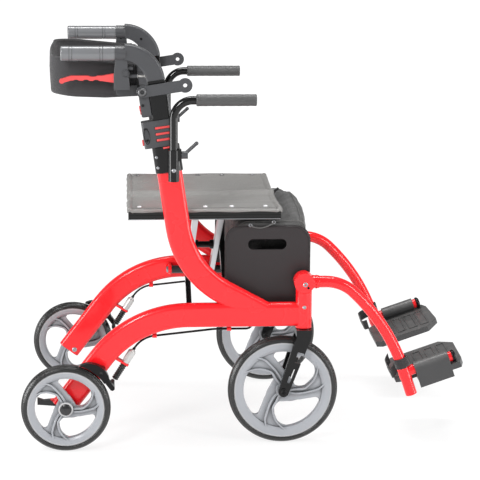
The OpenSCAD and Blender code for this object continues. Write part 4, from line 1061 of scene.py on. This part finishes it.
for side, sign in sides:
    line = []
    for k in range(21):
        share = k / 20
        sag = 4.0 * share * (1.0 - share)
        x = cord["from"][0] + cord["run"][0] * share
        line.append(spot(x, cord["out"], cord["from"][1] + cord["run"][1] * share - cord["sag"] * sag, sign))
    hold(pipe(f"{side}BagCord", line, cord["radius"], "piping"), f"{side}_side")
    for k, (x, z) in enumerate(cord["eyes"]):
        eye = [spot(*point, sign) for point in ovalRing(x, cord["eyeOut"], z, cord["eye"], cord["eye"], 16)]
        hold(pipe(f"{side}CordEye{k}", eye, cord["wire"], "bareSteel", True), f"{side}_side")
    edge = [panelLip["start"]]
    for centreX, first in panelLip["centres"]:
        for a in range(13):
            turn = math.radians(first - 90.0 * a / 12)
            edge.append((centreX + panelLip["corner"] * math.cos(turn),
                         panelLip["centreZ"] + panelLip["corner"] * math.sin(turn)))
    line = [spot(x, panelLip["out"], z, sign) for x, z in edge + [panelLip["end"]]]
    hold(pipe(f"{side}PanelLip", line, panelLip["radius"], "panelMould"), f"{side}_side")
print("bag trimmed")


# A block with rounded edges, sized and placed in millimetres within a matrix
def softBlock(name, size, centre, matrix, look, edge=0.8):
    work = bmesh.new()
    bmesh.ops.create_cube(work, size=1.0)
    for vertex in work.verts:
        vertex.co = Vector([co * length for co, length in zip(vertex.co, size)]) + Vector(centre)
    bmesh.ops.bevel(work, geom=work.edges[:], offset=edge, segments=3, affect="EDGES", profile=0.5)
    bmesh.ops.transform(work, matrix=matrix @ Matrix.Scale(mm, 4), verts=work.verts)
    bmesh.ops.recalc_face_normals(work, faces=work.faces)
    mesh = bpy.data.meshes.new(name)
    work.to_mesh(mesh)
    work.free()
    smooth(mesh, 40)
    mesh.materials.append(mats[look])
    return addObject(name, mesh)


# The height clamp: red strips in its slots, a red trim below it, and painted shade for its oval recess and
# its hole: a black ring round the recess and a black disc on the hole.
# All are placed along the tilted column, from the column's foot.
clamp = {"foot": (-258.7, 240, 633), "strip": (39.2, 2.0, 5.4), "stripAt": (2.0, -13.8), "first": 80.0,
         "step": 13.5, "trim": (30.0, 2.4, 4.0), "trimAt": (9.0, -16.9, 61.6),
         "grooveShade": (-38.0, -15.0, 92.0, 6.5, 17.0), "grooveShadeRadius": 0.7, "hole": (-38.0, -15.0, 82.0),
         "holeShadeRadius": 3.0}
for side, sign in sides:
    matrix = sideMatrix(spot(*clamp["foot"], sign), columnTilt, sign)
    body = f"{side}_side"
    for k in range(3):
        centre = clamp["stripAt"] + (clamp["first"] + clamp["step"] * k,)
        strip = softBlock(f"{side}ClampStrip{k}", clamp["strip"], centre, matrix, "redMould")
        hold(strip, body)
    trim = softBlock(f"{side}ClampTrim", clamp["trim"], clamp["trimAt"], matrix, "redMould")
    hold(trim, body)
    # Painted shade: a black ring where the recess's edge lies in shade, and a black disc for the hole
    oval = [matrix @ (Vector(point) * mm) for point in ovalRing(*clamp["grooveShade"], 32)]
    oval = pipe(f"{side}ClampGroove", oval, clamp["grooveShadeRadius"], "blackMould", True)
    hold(oval, body)
    hole = [(matrix @ (Vector(clamp["hole"]) * mm), Vector((0, sign, 0)), clamp["holeShadeRadius"])]
    screws(f"{side}ClampHole", body, hole, "black_plastic", "blackMould")

# The lever housing: the end of the brake cable and a raised ring; and the cable's adjuster at the rear leg
housing = {"y": 240, "tail": ((-330.5, 848), (-328.5, 838), (-327.0, 824)), "tailRadius": 2.8,
           "ring": (-355.0, 251.2, 858.0, 7.5, 7.5), "ringRadius": 0.9}
adjuster = {"size": (17.0, 13.0, 27.0), "centre": (0.0, 0.0, 2.0), "edge": 2.0}
for side, sign in sides:
    tail = [spot(x, housing["y"], z, sign) for x, z in housing["tail"]]
    tail = pipe(f"{side}CableTail", tail, housing["tailRadius"], "blackMould")
    hold(tail, f"{side}_handle_set")
    ring = [spot(*point, sign) for point in ovalRing(*housing["ring"], 32)]
    ring = pipe(f"{side}HousingRing", ring, housing["ringRadius"], "greyMould", True)
    hold(ring, f"{side}_handle_set")
    matrix = (Matrix.Translation((adjusterAt.x, sign * rod["y"] * mm, adjusterAt.z))
              @ Matrix.Rotation(pullTilt, 4, "Y"))
    block = softBlock(f"{side}Adjuster", adjuster["size"], adjuster["centre"], matrix, "adjusterMould",
                      adjuster["edge"])
    hold(block, f"{side}_side")
print("clamp strips and adjusters fitted")


# A mask of the kinds of rays that are named
def rayMask(w, first, *others):
    ray = w.put("ShaderNodeLightPath").outputs
    mask = ray[first]
    for kind in others:
        mask = w.math("MAXIMUM", mask, ray[kind])
    return mask


# A pale floor that glows in what is seen of it, and still takes shadows
ground = {"half": 30, "tint": (0.86, 0.86, 0.86, 1), "near": (0.5, 1.06), "far": (4.0, 1.4), "glow": 0.74}
reach = ground["half"]
floorPlane = bpy.data.meshes.new("floor")
floorPlane.from_pydata([(-reach, -reach, 0), (reach, -reach, 0), (reach, reach, 0), (-reach, reach, 0)], [],
                       [(0, 1, 2, 3)])
floor = addObject("floor", floorPlane)
floorLook = bpy.data.materials.new("paleFloor")
w = freshWires(floorLook)
away = w.vector("LENGTH", w.put("ShaderNodeTexCoord").outputs["Object"])
strength = w.ramp(away, ground["near"][0], ground["far"][0], ground["near"][1], ground["far"][1])
glow = w.put("ShaderNodeEmission", {"Strength": strength})
chalk = w.put("ShaderNodeBsdfDiffuse", {"Color": ground["tint"]})
seen = rayMask(w, "Is Camera Ray", "Is Glossy Ray", "Is Transmission Ray")
both = w.put("ShaderNodeMixShader", {"Fac": w.math("MULTIPLY", seen, ground["glow"]), 1: chalk.outputs[0],
                                     2: glow.outputs[0]})
w.put("ShaderNodeOutputMaterial", {"Surface": both.outputs[0]})
floorPlane.materials.append(floorLook)

# White where it is seen, dim where it lights
world = bpy.data.worlds.new("studio")
scene.world = world
w = freshWires(world)
seen = rayMask(w, "Is Camera Ray", "Is Transmission Ray")
sky = w.put("ShaderNodeBackground", {"Color": (1, 1, 1, 1), "Strength": w.mix(seen, 0.3, 1.0)})
w.put("ShaderNodeOutputWorld", {"Surface": sky.outputs[0]})

# Lamps: place, target, size and power; the low strip stays out of reflections
lamps = (
    ("keyLight", (-1.9, -2.7, 2.6), (0.0, 0.0, 0.45), (0.7, 1.1), 78.0),
    ("fillLight", (2.5, -2.3, 1.9), (0.0, 0.0, 0.4), (0.6, 1.8), 44.0),
    ("topLight", (0.1, 0.3, 3.3), (0.0, 0.0, 0.5), (2.2, 0.6), 70.0),
    ("lowStrip", (-0.4, -3.2, 0.5), (0.0, 0.0, 0.45), (2.4, 0.5), 9.0),
    ("leftStrip", (-2.9, -0.8, 0.75), (0.0, 0.0, 0.6), (1.1, 1.5), 60.0),
    ("rightStrip", (2.9, -1.3, 0.75), (0.0, 0.0, 0.6), (0.9, 1.5), 36.0),
)
for name, place, target, size, power in lamps:
    lamp = bpy.data.lights.new(name, "AREA")
    lamp.shape = "RECTANGLE"
    lamp.size, lamp.size_y = size
    lamp.energy = power
    holder = addObject(name, lamp)
    holder.visible_camera = False
    holder.visible_glossy = name != "lowStrip"
    holder.location = place
    holder.rotation_euler = (Vector(target) - Vector(place)).to_track_quat("-Z", "Y").to_euler()

view = {"from": (-357.4, 3873.9, 1293.7), "yaw": 4.04, "pitch": 12.6, "roll": 0.39, "lens": 123.97}
camera = bpy.data.cameras.new("camera")
camera.lens = view["lens"]
camera.sensor_width = 36.0
camera.clip_end = 100.0
eye = addObject("camera", camera)
eye.matrix_world = (Matrix.Translation(spot(*view["from"]))
                    @ Matrix.Rotation(math.radians(-view["yaw"]), 4, "Z")
                    @ Matrix.Rotation(math.radians(90.0 - view["pitch"]), 4, "X")
                    @ Matrix.Rotation(math.radians(view["roll"]), 4, "Z"))
scene.camera = eye
scene.view_settings.view_transform = "Standard"
print("stage, light and camera set")
